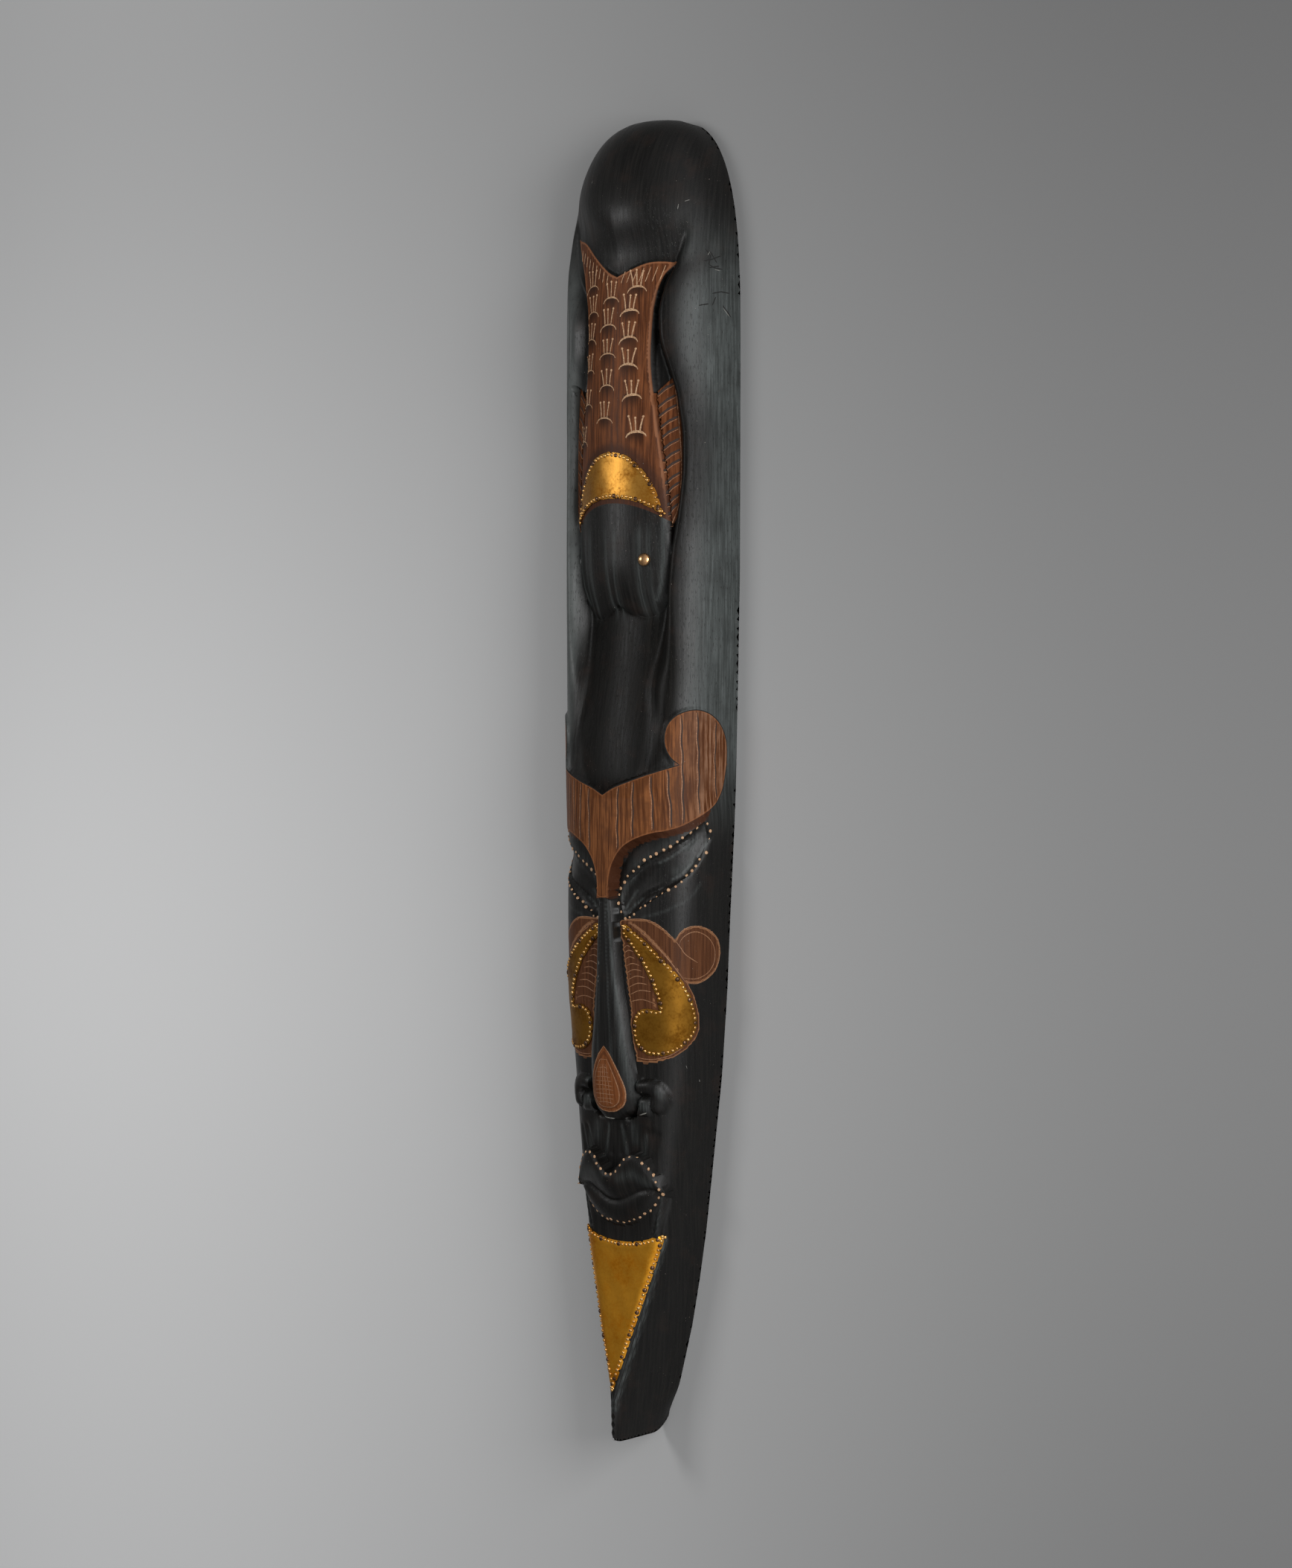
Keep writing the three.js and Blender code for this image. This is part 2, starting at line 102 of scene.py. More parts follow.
# For each row, x and z at equal steps of girth from the crest to the bottom of the rim.
def section_table(half, depth, square, draw):
    angle = np.linspace(0, math.pi / 2, 321)
    xs, zs, girth = [], [], []
    for h, d, n, w in zip(half, depth, square, draw):
        across = np.sin(angle) ** (2 / n)
        up = np.maximum(0, np.cos(angle)) ** (2 / n)
        x = np.append(h * across * (1 - w * up), h)
        z = np.append(RIM + (d - RIM) * up, 0)
        s = np.concatenate([[0], np.cumsum(np.hypot(np.diff(x), np.diff(z)))])
        even = np.linspace(0, s[-1], ACROSS)
        xs.append(np.interp(even, s, x))
        zs.append(np.interp(even, s, z))
        girth.append(s[-1])
    return np.array(xs), np.array(zs), np.array(girth)


half_row = soft[0] * dome
log = section_table(half_row, RIM + (soft[1] - RIM) * dome, soft[2], soft[3])
crown_section = section_table(half_row + 0.5, CROWN_DEPTH + 0 * rows_y, 2.32 + 0 * rows_y, 0 * rows_y)


def table_at(table, y, share):
    row = np.clip((y + TOP) / ROW, 0, len(rows_y) - 1.001)
    col = np.clip(share * (ACROSS - 1), 0, ACROSS - 1.001)
    i, j = row.astype(int), col.astype(int)
    f, g = row - i, col - j
    return (table[i, j] * (1 - f) + table[i + 1, j] * f) * (1 - g) + (
        table[i, j + 1] * (1 - f) + table[i + 1, j + 1] * f) * g


def girth_at(y):
    return np.interp(y, rows_y, log[2])


# A drawn outline of (x, y) points becomes (s, y), where s is the way round the section.
def on_girth(points):
    out = []
    for x, y in points:
        row = min(max((y + TOP) / ROW, 0), len(rows_y) - 1.001)
        i, f = int(row), row - int(row)
        xs = log[0][i] * (1 - f) + log[0][i + 1] * f
        share = np.interp(abs(x), xs, np.linspace(0, 1, ACROSS))
        out.append((math.copysign(share * girth_at(y), x), y))
    return np.array(out)


# A smooth curve through the points, at count + 1 places.
def spline(points, count):
    p = [np.array(q, float) for q in points]
    p = [2 * p[0] - p[1]] + p + [2 * p[-1] - p[-2]]
    n = len(points) - 1
    out = []
    for k in range(count + 1):
        u = min(k * n / count, n - 1e-9)
        i = int(u)
        t = u - i
        a, b, c, d = p[i:i + 4]
        out.append(tuple(0.5 * (2 * b + (c - a) * t + (2 * a - 5 * b + 4 * c - d) * t * t
                                + (3 * b - a - 3 * c + d) * t ** 3)))
    return out


def mirrored(points):
    return [(-x, y) for x, y in reversed(points)]


# Signed distance to a closed outline, positive inside, held to plus or minus reach far away. A reach
# without a decimal point makes it whole millimetres, cut towards zero.
def distance(outline, s, y, reach=14.0):
    q = np.asarray(outline, float)
    out = np.full(s.shape, -reach)
    near = ((s > q[:, 0].min() - reach) & (s < q[:, 0].max() + reach)
            & (y > q[:, 1].min() - reach) & (y < q[:, 1].max() + reach))
    ps, py = s[near], y[near]
    best = np.full(ps.shape, 1e9)
    inside = np.zeros(ps.shape, bool)
    for a, b in zip(q, np.roll(q, -1, axis=0)):
        e = b - a
        if not e.any():
            continue
        t = np.clip(((ps - a[0]) * e[0] + (py - a[1]) * e[1]) / (e @ e), 0, 1)
        best = np.minimum(best, (ps - a[0] - t * e[0]) ** 2 + (py - a[1] - t * e[1]) ** 2)
        if a[1] != b[1]:
            cross = ((a[1] > py) != (b[1] > py)) & (ps < e[0] * (py - a[1]) / e[1] + a[0])
            inside ^= cross
    out[near] = np.clip(np.where(inside, 1, -1) * np.sqrt(best), -reach, reach)
    return out


# Distance to an open line.
def away(line, s, y, reach=14.0):
    q = np.asarray(line, float)
    best = np.full(s.shape, reach ** 2)
    for a, b in zip(q[:-1], q[1:]):
        e = b - a
        t = np.clip(((s - a[0]) * e[0] + (y - a[1]) * e[1]) / (e @ e), 0, 1)
        best = np.minimum(best, (s - a[0] - t * e[0]) ** 2 + (y - a[1] - t * e[1]) ** 2)
    return np.sqrt(best)


# Outlines of the carved forms, near those in the part's source: the fish with its forked tail and
# fins, the crown with a curled horn at each end, the leaf eyes, the nose and the lips. They are drawn
# in (x, y) and laid round the log, but the crown, already measured round it, is in (s, y).
fish_side = spline([(32.3, 348), (31, 328), (31, 308), (33, 288), (38, 250), (41.5, 220), (44, 190),
                    (45, 168), (43.8, 150), (40.5, 135.5), (34, 124), (24, 119), (12, 122.5),
                    (0, 129.5)], 60)
tail_right = spline([(3, 374), (12, 377), (28, 382), (40, 382.4), (49, 381)], 16) + spline(
    [(49, 381), (41, 373.5), (35.5, 362), (32.3, 348)], 12)[1:-1]
tail_left = spline([(-32.3, 348), (-34.5, 366), (-39.5, 386), (-51, 412)], 12)[1:] + spline(
    [(-51, 412), (-36, 405.5), (-20, 391), (-6, 379), (3, 374)], 16)[1:-1]
fish_xy = tail_right + fish_side + mirrored(fish_side)[1:] + tail_left
fin_xy = spline([(47.5, 298), (50.8, 270), (52.8, 235), (51.6, 203), (45, 182)], 24) + [
    (40, 196), (37, 240), (33, 283)]
crown_s = (spline([(0, -14), (10.3, -8.6), (22.9, -4.2), (35.9, 0.2), (51.3, 5), (62.1, 8.2)], 24)
           + spline([(62.1, 8.2), (55.6, 13.7), (51.6, 22), (51.3, 31), (54, 38.8), (60.4, 45),
                     (69.8, 48.4), (78.2, 48.6), (87, 45.6), (95.2, 39), (101, 28.6), (102.6, 17),
                     (101.4, 4), (98.2, -9), (91.4, -19.6), (84, -25.6)], 60)[1:]
           + spline([(84, -25.6), (72.7, -31.6), (61.4, -37.2), (50.6, -40.4), (40.2, -42.2), (29, -46),
                     (20.4, -50.6), (14.6, -56), (9.4, -64), (6.3, -73), (5.2, -82)], 40)[1:]
           + [(5.2, -90.5)])
leaf_xy = spline([(14, -107), (10.4, -97), (10.6, -86), (16.4, -76), (33, -62.5), (50, -52.5),
                  (60, -42.5), (66.5, -33)], 34) + spline(
    [(66.5, -33), (66.9, -46), (63.5, -65.5), (57, -77.5), (43, -89), (27, -99.5), (14, -107)],
    30)[1:-1]
nose_side = spline([(5.2, -84), (8, -120), (10.5, -150), (14.5, -175), (18, -200), (22, -225),
                    (23.4, -240), (20.5, -251), (11, -255.5), (0, -256.5)], 50)


def lip_top(x):
    a = np.abs(x)
    return np.where(a < 21.5, -282.5 - 7.75 * (1 + np.cos(math.pi * a / 21.5)),
                    -282.5 - 28.5 * ((a - 21.5) / 21.5) ** 2)


def mouth_line(x):
    a = np.abs(x)
    return -318 + 10.5 * smooth(0, 31, a) - 3.0 * np.clip((a - 31) / 11, 0, 1) ** 2


def lip_bottom(x):
    return -310.5 - 24.5 * np.maximum(0, 1 - (x / 36.5) ** 2) ** 0.62


wide = np.linspace(-43, 43, 61)
narrow = np.linspace(-36.4, 36.4, 49)
upper_lip_xy = list(zip(wide, lip_top(wide))) + list(zip(wide[::-1] * 0.98, mouth_line(wide[::-1])))
lower_lip_xy = list(zip(narrow, mouth_line(narrow) + 0.4)) + list(
    zip(narrow[::-1], lip_bottom(narrow[::-1]) - 0.2))

fish = on_girth(fish_xy)
fin = on_girth(fin_xy)
crown = np.array(crown_s + mirrored(crown_s)[:-1])
leaf = on_girth(leaf_xy)
nose = on_girth(nose_side + mirrored(nose_side)[1:])
upper_lip = on_girth(upper_lip_xy)
lower_lip = on_girth(lower_lip_xy)

# Scored creases of the leaf eyes and the strip beside the chin plate, in (s, y).
crease_top = spline([(14.9, -78.1), (24.1, -70.7), (33.1, -64.7), (42, -60.2), (50.6, -56.2),
                     (59, -50.7), (66.6, -45.6), (73.9, -40.5)], 21)
crease_two = spline([(36, -65.2), (41.9, -62.6), (50.5, -59), (59.9, -53.1), (67.9, -48),
                     (74.2, -42.9)], 15)
crease_low = spline([(14.6, -102.7), (22.9, -95.3), (32.6, -88), (42.1, -83.9), (50.9, -80.2),
                     (59.3, -75.9), (66.7, -70.4), (73, -63.3), (79.2, -54.7), (83, -46.1)], 27)
chin_strip = spline([(40.8, -346), (34, -366), (27.6, -389), (20.8, -412), (13.4, -435), (6.2, -458),
                     (1.6, -474)], 12)

# Heights along the middle, by y: the fish's back and the channel's floor; then half the channel's
# width, and the nose's height and half width.
FISH_CREST = [(110, 46), (122, 52.5), (130, 55.5), (140, 59.5), (155, 62.5), (180, 63.5), (260, 63.5),
              (330, 61), (375, 58.2), (415, 56)]
FLOOR_CREST = [(-16, 74), (0, 71.5), (30, 66), (60, 60), (90, 54), (120, 50), (150, 53), (180, 56),
               (260, 56), (330, 53.5), (375, 50.7), (415, 48.5)]
CHANNEL_HALF = [(-15, 22), (10, 38), (40, 46), (85, 50), (135, 50), (165, 52), (195, 56), (225, 58.5),
                (255, 58.5), (285, 55), (305, 50), (322, 45), (345, 44), (360, 47), (375, 53),
                (400, 60), (440, 60)]
NOSE = [(-257, 61, 12), (-250, 64.5, 21), (-240, 67, 23.4), (-225, 69, 22), (-200, 69.6, 18),
        (-175, 70, 14.5), (-150, 70.3, 10.5), (-120, 70.5, 8), (-84, 70.8, 5.2)]


# A table's value with its corners eased over 12 mm.
def eased(rows, y):
    at = np.asarray(y, float)
    return sum(along(rows, at + k) for k in (-6, -3, 0, 3, 6)) / 5


def fish_height(x, y):
    radius = 60 + 20 * smooth(330, 390, y)
    return eased(FISH_CREST, y) - x ** 2 / (2 * radius)


# The carved skin: from (s, y) to x, y, z in millimetres. Each form replaces the ground inside its
# outline, with a wall that slopes a little and an edge that is rounded over.
def skin(s, y):
    s, y = np.asarray(s, float), np.asarray(y, float)
    side, a = np.where(s < 0, -1.0, 1.0), np.abs(s)
    share = a / girth_at(y)
    x, z = table_at(log[0], y, share), table_at(log[1], y, share)
    step = 0.004
    tx = table_at(log[0], y, share + step) - table_at(log[0], y, share - step)
    tz = table_at(log[1], y, share + step) - table_at(log[1], y, share - step)
    size = np.hypot(tx, tz) + 1e-9
    nx, nz = -tz / size, tx / size

    # The channel: its floor rises into the dome at the top and its sides slope up to the log's face.
    radius = 68 + 12 * np.clip(smooth(330, 390, y) + smooth(90, 20, y) * (y < 200), 0, 1)
    sunk = 1 - smooth(352, 388, y)
    flat = eased(FLOOR_CREST, y) - x ** 2 / (2 * radius)
    bed = fish_height(x, y) - 0.6
    bed = bed + (flat - bed) * sunk
    slope = 2 * (0.4 + 0.6 * smooth(60, 135, y))
    wall = z + slope * (x - eased(CHANNEL_HALF, y))
    start = 384 + 0.62 * np.maximum(0, 3 - x * side)
    floor = np.maximum(bed, wall)
    floor = floor + 1.2 * np.exp(-((bed - wall) / 2.6) ** 2)
    floor = floor + (z + 5 - floor) * smooth(0, 56, y - start)
    gap = z - floor
    cut = np.where(gap > 6.5, gap, np.maximum(0, gap + 6.5) ** 2 / 26)
    z = z - np.where((y > -18) & (x < 66), cut, 0) * smooth(10, 25, z)

    def form(ground, top, d, run, edge, drop):
        f = smooth(-run, 0, d)
        lowered = top - drop * (1 - np.clip(d / edge, 0, 1)) ** 2
        return ground + (lowered - ground) * f

    # The fish, and its fins where they stand clear of its body.
    d = distance(fish, s, y, 6)
    z = form(z, fish_height(x, y), d, 1.4, 3.0, 0.9 * (1 - smooth(352, 374, y)))
    d = np.minimum(distance(fin, a, y, 6), 6)
    under = distance(fish, s, y, 6)
    fin_top = eased(FISH_CREST, y) - 2.2 - x ** 2 / 132
    z = np.where(under > -1.2, z, form(z, fin_top, d, 1.2, 1.5, 0.6))

    # The leaf eyes: sunk, with creases drawn through them.
    d = distance(leaf, a, y, 14)
    deep = 1.3 * smooth(0, 1.3, d) + 2.6 * (1 - (1 - np.clip(d / 11, 0, 1)) ** 2) * (d > 0)
    for crease, depth, wide in ((crease_top, 1.2, 1.3), (crease_two, 0.6, 0.8), (crease_low, 1.3, 1.3)):
        deep = deep + depth * np.exp(-(away(crease, a, y, 8) / wide) ** 2)
    x, z = x - nx * deep, z - nz * deep

    # The nose: its sides fall away from the ridge, most near the tip.
    t = np.minimum(x / along(NOSE, y, 2), 1.3)
    drop = 2.2 + 4.6 * (1 - smooth(-190, -110, y)) + 6 * (1 - smooth(-240, -200, y))
    d = distance(nose, s, y, 6)
    z = form(z, eased(NOSE, y) - drop * t ** 3, d, 1.3, 1.6, 0.5)

    # The nostril: an arm that curls out and down from the nose, a hollow inside it, a small flat lobe
    # and a cut between the two.
    face = (y < -215) & (y > -262) & (x < 54)
    off = away([(22, -232.6), (28, -231.2), (33.6, -230.9), (38.2, -232.6), (40.8, -236.2), (41, -240.5),
                (39.6, -244.6)], x, y)
    thick = 5.2 + 1.0 * smooth(30, 38, x)
    arm = 4.6 * np.sqrt(np.clip(1 - (off / thick) ** 2, 0, 1))
    lobe = 2.6 * np.sqrt(np.clip(1 - ((x - 26) / 9.5) ** 4 - ((y + 246) / 6.8) ** 4, 0, 1))
    pit = 1.6 * np.exp(-(away([(24, -238.4), (30.5, -238.2)], x, y) / 1.8) ** 2)
    notch = away([(33.6, -239), (34.2, -243), (34.4, -247), (33.4, -250.5)], x, y)
    slit = 1.4 * np.exp(-(notch / 1.1) ** 2)
    z = np.where(face & (d < 0), z + np.maximum(arm, lobe) - np.where(arm > 2.6, 0, pit) - slit, z)

    # Shallow flutes between nose and lips, and two grooves from each corner of the mouth.
    flute = (away([(9.5, -264), (14, -286)], x, y), away([(3.8, -264), (4.8, -283)], x, y),
             away([(31.5, -264), (25, -283)], x, y), away([(37, -266), (31.5, -285)], x, y))
    dip = sum(depth * np.exp(-(f / wide) ** 2)
              for f, depth, wide in zip(flute, (1.0, 0.8, 1.5, 1.1), (2.2, 1.6, 2.6, 2.4)))
    z = z - dip * smooth(-290, -284, y) * (1 - smooth(-266, -260, y))
    groove = np.minimum(away([(36.6, -313), (35.4, -321), (33, -331), (30.3, -343)], x, y),
                        away([(41.8, -312), (40.2, -320.5), (37.4, -331), (35, -342.5)], x, y))
    z = z - 1.5 * np.exp(-(groove / 1.1) ** 2)

    # The lips, fuller at the middle of each.
    v = np.clip((mouth_line(x) - y) / np.maximum(2, mouth_line(x) - lip_bottom(x)), 0, 1)
    outer = np.minimum(1.1, x / 43) ** 3
    top = 57.4 - 8 * outer - 3.2 * v ** 2 + 1.6 * np.sin(math.pi * v)
    z = form(z, top, distance(lower_lip, s, y, 6), 1.0, 2.0, 0.7)
    v = np.clip((lip_top(x) - y) / np.maximum(2, lip_top(x) - mouth_line(x)), 0, 1)
    top = 65.2 - 15 * outer + (6.5 * outer - 7.3) * v ** 1.8 + 1.2 * np.sin(math.pi * v)
    z = form(z, top, distance(upper_lip, s, y, 6), 1.0, 2.0, 0.7)

    # The crown stands out from the log; its walls lean more under the brow.
    d = distance(crown, s, y, 8)
    run = 0.8 + 2.6 * (1 - smooth(-32, -22, y)) * smooth(7, 16, x)
    f = smooth(-1, 0, d / run)
    cx, cz = table_at(crown_section[0], y, share), table_at(crown_section[1], y, share)
    x, z = x + (cx - x) * f, z + (cz - z) * f

    # The keel's end leans in, more near its back.
    end = 1 - smooth(-TOP, -460, y)
    lean = end * (10 * np.maximum(0, 1 - z / 18) ** 2 + 2.5 * np.clip((z - 50) / 10, 0, 1) ** 2)
    return np.stack([side * x, y + lean, z], -1)


# Outward directions of the skin.
def normals(s, y, step=0.5):
    du = skin(s + step, y) - skin(s - step, y)
    dv = skin(s, y + step) - skin(s, y - step)
    n = np.cross(du, dv)
    return n / np.linalg.norm(n, axis=-1, keepdims=True)


# Points between two corners, in rows set half a pitch apart from each other.
def hexes(low, high, pitch):
    ys = np.arange(low[1], high[1], pitch * 0.866)
    xs = np.arange(low[0], high[0], pitch)
    grid = np.stack(np.meshgrid(xs, ys), -1)
    grid[1::2, :, 0] += pitch / 2
    return grid.reshape(-1, 2)


# An outline moved outwards by a distance.
def ring(outline, out):
    q = np.asarray(outline, float)
    area = np.sum(q[:, 0] * np.roll(q[:, 1], -1) - np.roll(q[:, 0], -1) * q[:, 1])
    e = np.roll(q, -1, 0) - np.roll(q, 1, 0)
    n = np.stack([e[:, 1], -e[:, 0]], -1) * (1 if area > 0 else -1)
    return q + n / (np.linalg.norm(n, axis=1, keepdims=True) + 1e-9) * out


# The same line or loop with its points spread evenly.
def even(points, pitch, closed=True):
    q = np.asarray(points, float)
    if closed:
        q = np.vstack([q, q[:1]])
    way = np.concatenate([[0], np.cumsum(np.hypot(*np.diff(q, axis=0).T))])
    count = max(3, round(way[-1] / pitch))
    at = np.linspace(0, way[-1], count + 1)[: count if closed else None]
    return np.stack([np.interp(at, way, q[:, k]) for k in (0, 1)], -1)


# Triangulates points in the plane, with the given closed rings kept as edges.
def triangulate(border, rings, loose, clear):
    points, edges = [], []
    for loop in [border] + rings:
        first = len(points)
        points += [tuple(p) for p in loop]
        edges += [(first + k, first + (k + 1) % len(loop)) for k in range(len(loop))]
    fixed = np.array(points)
    cell = {}
    for p in fixed:
        cell.setdefault((int(p[0] // clear), int(p[1] // clear)), []).append(p)
    for p in loose:
        i, j = int(p[0] // clear), int(p[1] // clear)
        near = any(abs(q[0] - p[0]) < clear * 0.7 and abs(q[1] - p[1]) < clear * 0.7
                   for di in (-1, 0, 1) for dj in (-1, 0, 1) for q in cell.get((i + di, j + dj), ()))
        if not near:
            points.append(tuple(p))
    made = geometry.delaunay_2d_cdt([Vector(p) for p in points], edges, [], 0, 1e-6)
    flat, faces = np.array([tuple(v) for v in made[0]]), np.array([tuple(f) for f in made[2]])
    middle = flat[faces].mean(1)
    # A known fault: in whole millimetres this also loses faces whose middle is within 1 mm of the
    # border, so the skin's lower edge and its ends are notched. A reach of 200.0 would keep them.
    inside = distance(border, middle[:, 0], middle[:, 1], 200) > 0
    return flat, [tuple(f) for f in faces[inside].tolist()]


def mesh_object(name, verts_mm, faces, material, body="root", sharp=None):
    mesh = bpy.data.meshes.new(name)
    mesh.from_pydata((np.asarray(verts_mm) / 1000).tolist(), [], [tuple(f) for f in faces])
    mesh.materials.append(material)
    mesh.shade_smooth()
    if sharp:
        mesh.set_sharp_from_angle(angle=math.radians(sharp))
    obj = bpy.data.objects.new(name, mesh)
    scene.collection.objects.link(obj)
    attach(obj, body)
    return obj


def attribute(obj, name, values):
    values = np.asarray(values, np.float32)
    kind = "FLOAT" if values.ndim == 1 else "FLOAT_VECTOR"
    layer = obj.data.attributes.new(name, kind, "POINT")
    layer.data.foreach_set("value" if kind == "FLOAT" else "vector", values.ravel())


# Short ways to add and join nodes, for the materials and for the bead tree.
class Nodes:
    def __init__(self, tree):
        self.tree = tree

    def add(self, kind, settings=(), **inputs):
        made = self.tree.nodes.new(kind)
        for key, value in dict(settings).items():
            setattr(made, key, value)
        for key, value in inputs.items():
            self.put(made, key, value)
        return made

    def put(self, made, key, value):
        socket = made.inputs[key if isinstance(key, int) else key.replace("_", " ")]
        if isinstance(value, bpy.types.NodeSocket):
            self.tree.links.new(value, socket)
        else:
            socket.default_value = value

    def math(self, op, a, b=0.0):
        made = self.add("ShaderNodeMath", {"operation": op})
        self.put(made, 0, a)
        self.put(made, 1, b)
        return made.outputs[0]

    def mix(self, f, a, b):
        made = self.add("ShaderNodeMix", {"data_type": "RGBA"})
        for k, value in ((0, f), (6, a), (7, b)):
            self.put(made, k, value)
        return made.outputs[2]

    def read(self, name, kind="Fac"):
        made = self.add("ShaderNodeAttribute", {"attribute_name": name})
        return made.outputs[kind]

    def ramp(self, value, low, high, start=0.0, end=1.0):
        made = self.add("ShaderNodeMapRange", {"interpolation_type": "SMOOTHSTEP"})
        for k, v in enumerate((value, low, high, start, end)):
            self.put(made, k, v)
        return made.outputs[0]

    def noise(self, where, scale, detail=4.0, rough=0.55, stretch=None):
        if stretch:
            moved = self.add("ShaderNodeMapping")
            self.put(moved, 0, where)
            self.put(moved, 3, stretch)
            where = moved.outputs[0]
        made = self.add("ShaderNodeTexNoise", Vector=where, Scale=scale, Detail=detail, Roughness=rough)
        return made.outputs[0]


def material(name):
    made = bpy.data.materials.new(name)
    made.use_nodes = True
    tree = made.node_tree
    tree.nodes.clear()
    n = Nodes(tree)
    shader = n.add("ShaderNodeBsdfPrincipled")
    out = n.add("ShaderNodeOutputMaterial")
    tree.links.new(shader.outputs[0], out.inputs[0])
    return made, n, shader


# Wood grain, used by the painted body and by the bare strokes: long streaks along the log and fine
# pores. Its input is the position on the skin in millimetres.
grain = bpy.data.node_groups.new("Wood grain", "ShaderNodeTree")
grain.interface.new_socket(name="Place", in_out="INPUT", socket_type="NodeSocketVector")
grain.interface.new_socket(name="Streaks", in_out="OUTPUT", socket_type="NodeSocketFloat")
grain.interface.new_socket(name="Pores", in_out="OUTPUT", socket_type="NodeSocketFloat")
g = Nodes(grain)
g_in, g_out = g.add("NodeGroupInput"), g.add("NodeGroupOutput")
streak = g.noise(g_in.outputs[0], 0.55, 5.0, 0.6, (1.0, 0.045, 1.0))
pore = g.noise(g_in.outputs[0], 1.5, 2.0, 0.5, (1.0, 0.14, 1.0))
grain.links.new(streak, g_out.inputs[0])
grain.links.new(g.ramp(pore, 0.62, 0.68), g_out.inputs[1])


# The body's paint: satin black brushed over the wood, grey along the sides that is partly worn paint
# and partly painted sheen, painted highlights along edges and creases, and the fish, crown, nose drop and
# cheeks left bare and stained brown. Each border is the zero of a distance that the mesh carries, so it
# stays sharp.
mask_paint, n, shader = material("painted wood")
place = n.read("place", "Vector")
wood = n.add("ShaderNodeGroup", {"node_tree": grain})
n.put(wood, 0, place)
streaks, pores = wood.outputs[0], wood.outputs[1]
blotch = n.noise(place, 0.045, 3.0, 0.6)
coarse = n.noise(place, 0.16, 3.0, 0.6, (1.0, 0.25, 1.0))

black = n.mix(n.ramp(streaks, 0.35, 0.75), (0.0030, 0.0027, 0.0023, 1), (0.0085, 0.0074, 0.0062, 1))
black = n.mix(n.ramp(blotch, 0.5, 0.75, 0.0, 0.5), black, (0.018, 0.010, 0.007, 1))

# The grey: over both sides of the forehead, partly worn paint and partly painted sheen where the sides catch
# the light, thinner in the channel; and painted highlights where it is brushed on.
seat = n.add("ShaderNodeSeparateXYZ")
n.put(seat, 0, place)
across, up_log = seat.outputs[0], seat.outputs[1]
far_side = n.ramp(across, -40.0, -52.0)
side_zone = n.math("MULTIPLY", n.math("MAXIMUM", n.ramp(across, 52.0, 72.0), far_side),
                   n.math("MULTIPLY", n.ramp(up_log, -60.0, 40.0), n.ramp(up_log, 440.0, 330.0)))
mid_zone = n.math("MULTIPLY", n.ramp(up_log, -20.0, 60.0), n.ramp(up_log, 420.0, 300.0))
grey = n.mix(n.ramp(streaks, 0.35, 0.72), (0.040, 0.045, 0.043, 1), (0.088, 0.098, 0.096, 1))
grey = n.mix(far_side, grey, (0.085, 0.092, 0.089, 1))
grey = n.mix(n.math("MULTIPLY", pores, 0.8), grey, (0.012, 0.012, 0.011, 1))
grey_wear_and_sheen = n.math("MAXIMUM", n.math("MULTIPLY", side_zone, n.ramp(blotch, 0.25, 0.6, 0.7, 1.0)),
              n.math("MULTIPLY", n.math("MULTIPLY", mid_zone, n.ramp(coarse, 0.48, 0.66)), 0.4))
grey_wear_and_sheen = n.math("MULTIPLY", grey_wear_and_sheen, n.read("bank"))
# Painted highlights: grey laid along edges and creases where they catch the light.
painted_highlights = n.math("MULTIPLY", n.read("brushed"), n.ramp(streaks, 0.25, 0.6, 0.55, 1.0))
grey_wear_and_sheen = n.math("MAXIMUM", grey_wear_and_sheen, painted_highlights)
black = n.mix(grey_wear_and_sheen, black, grey)

# The stains: reddish on the fish, tan on the crown, umber on the cheeks. The horns are paler and greyer:
# partly lighter grain, partly painted sheen.
red = n.mix(n.ramp(streaks, 0.36, 0.66), (0.060, 0.018, 0.006, 1), (0.190, 0.064, 0.023, 1))
red = n.mix(n.ramp(coarse, 0.42, 0.72, 0.0, 0.65), red, (0.075, 0.026, 0.012, 1))
tan = n.mix(n.ramp(streaks, 0.36, 0.64), (0.070, 0.021, 0.006, 1), (0.235, 0.086, 0.029, 1))
horn_grain_and_sheen = n.math("MULTIPLY", n.ramp(n.math("ABSOLUTE", across), 58.0, 84.0), n.ramp(streaks, 0.42, 0.60))
tan = n.mix(n.math("MULTIPLY", horn_grain_and_sheen, 0.6), tan, (0.25, 0.155, 0.105, 1))
tan = n.mix(n.ramp(blotch, 0.42, 0.62, 0.0, 0.6), tan, (0.085, 0.030, 0.012, 1))
umber = n.mix(n.ramp(streaks, 0.30, 0.72), (0.058, 0.020, 0.008, 1), (0.130, 0.050, 0.021, 1))


# One where the value is past the edge, with a blur of a tenth of a millimetre.
def step(value, edge, blur=0.12):
    return n.ramp(value, edge - blur, edge + blur)


# The fish's body and fins are stained, but its head is black. A painted highlight runs along its edge, its
# scales cast painted shade, and the stain darkens towards the band.
fish_d, fin_d, head = n.read("d_fish"), n.read("d_fin"), n.read("d_head")
fish_zone = n.math("MULTIPLY", n.math("MAXIMUM", step(fish_d, -0.15), step(fin_d, -0.15)),
                   n.math("SUBTRACT", 1.0, step(head, 0.0)))
painted_rim_highlight = n.math("MULTIPLY", n.ramp(fish_d, -0.3, 0.2), n.ramp(fish_d, 1.3, 0.7))
red = n.mix(n.math("MULTIPLY", painted_rim_highlight, 0.65), red, (0.30, 0.125, 0.058, 1))
red = n.mix(n.math("MULTIPLY", n.read("scale_shade"), 0.85), red, (0.026, 0.010, 0.005, 1))
red = n.mix(n.ramp(n.read("d_band"), -9.0, -1.5, 0.0, 0.75), red, (0.040, 0.017, 0.011, 1))
colour = n.mix(fish_zone, black, red)

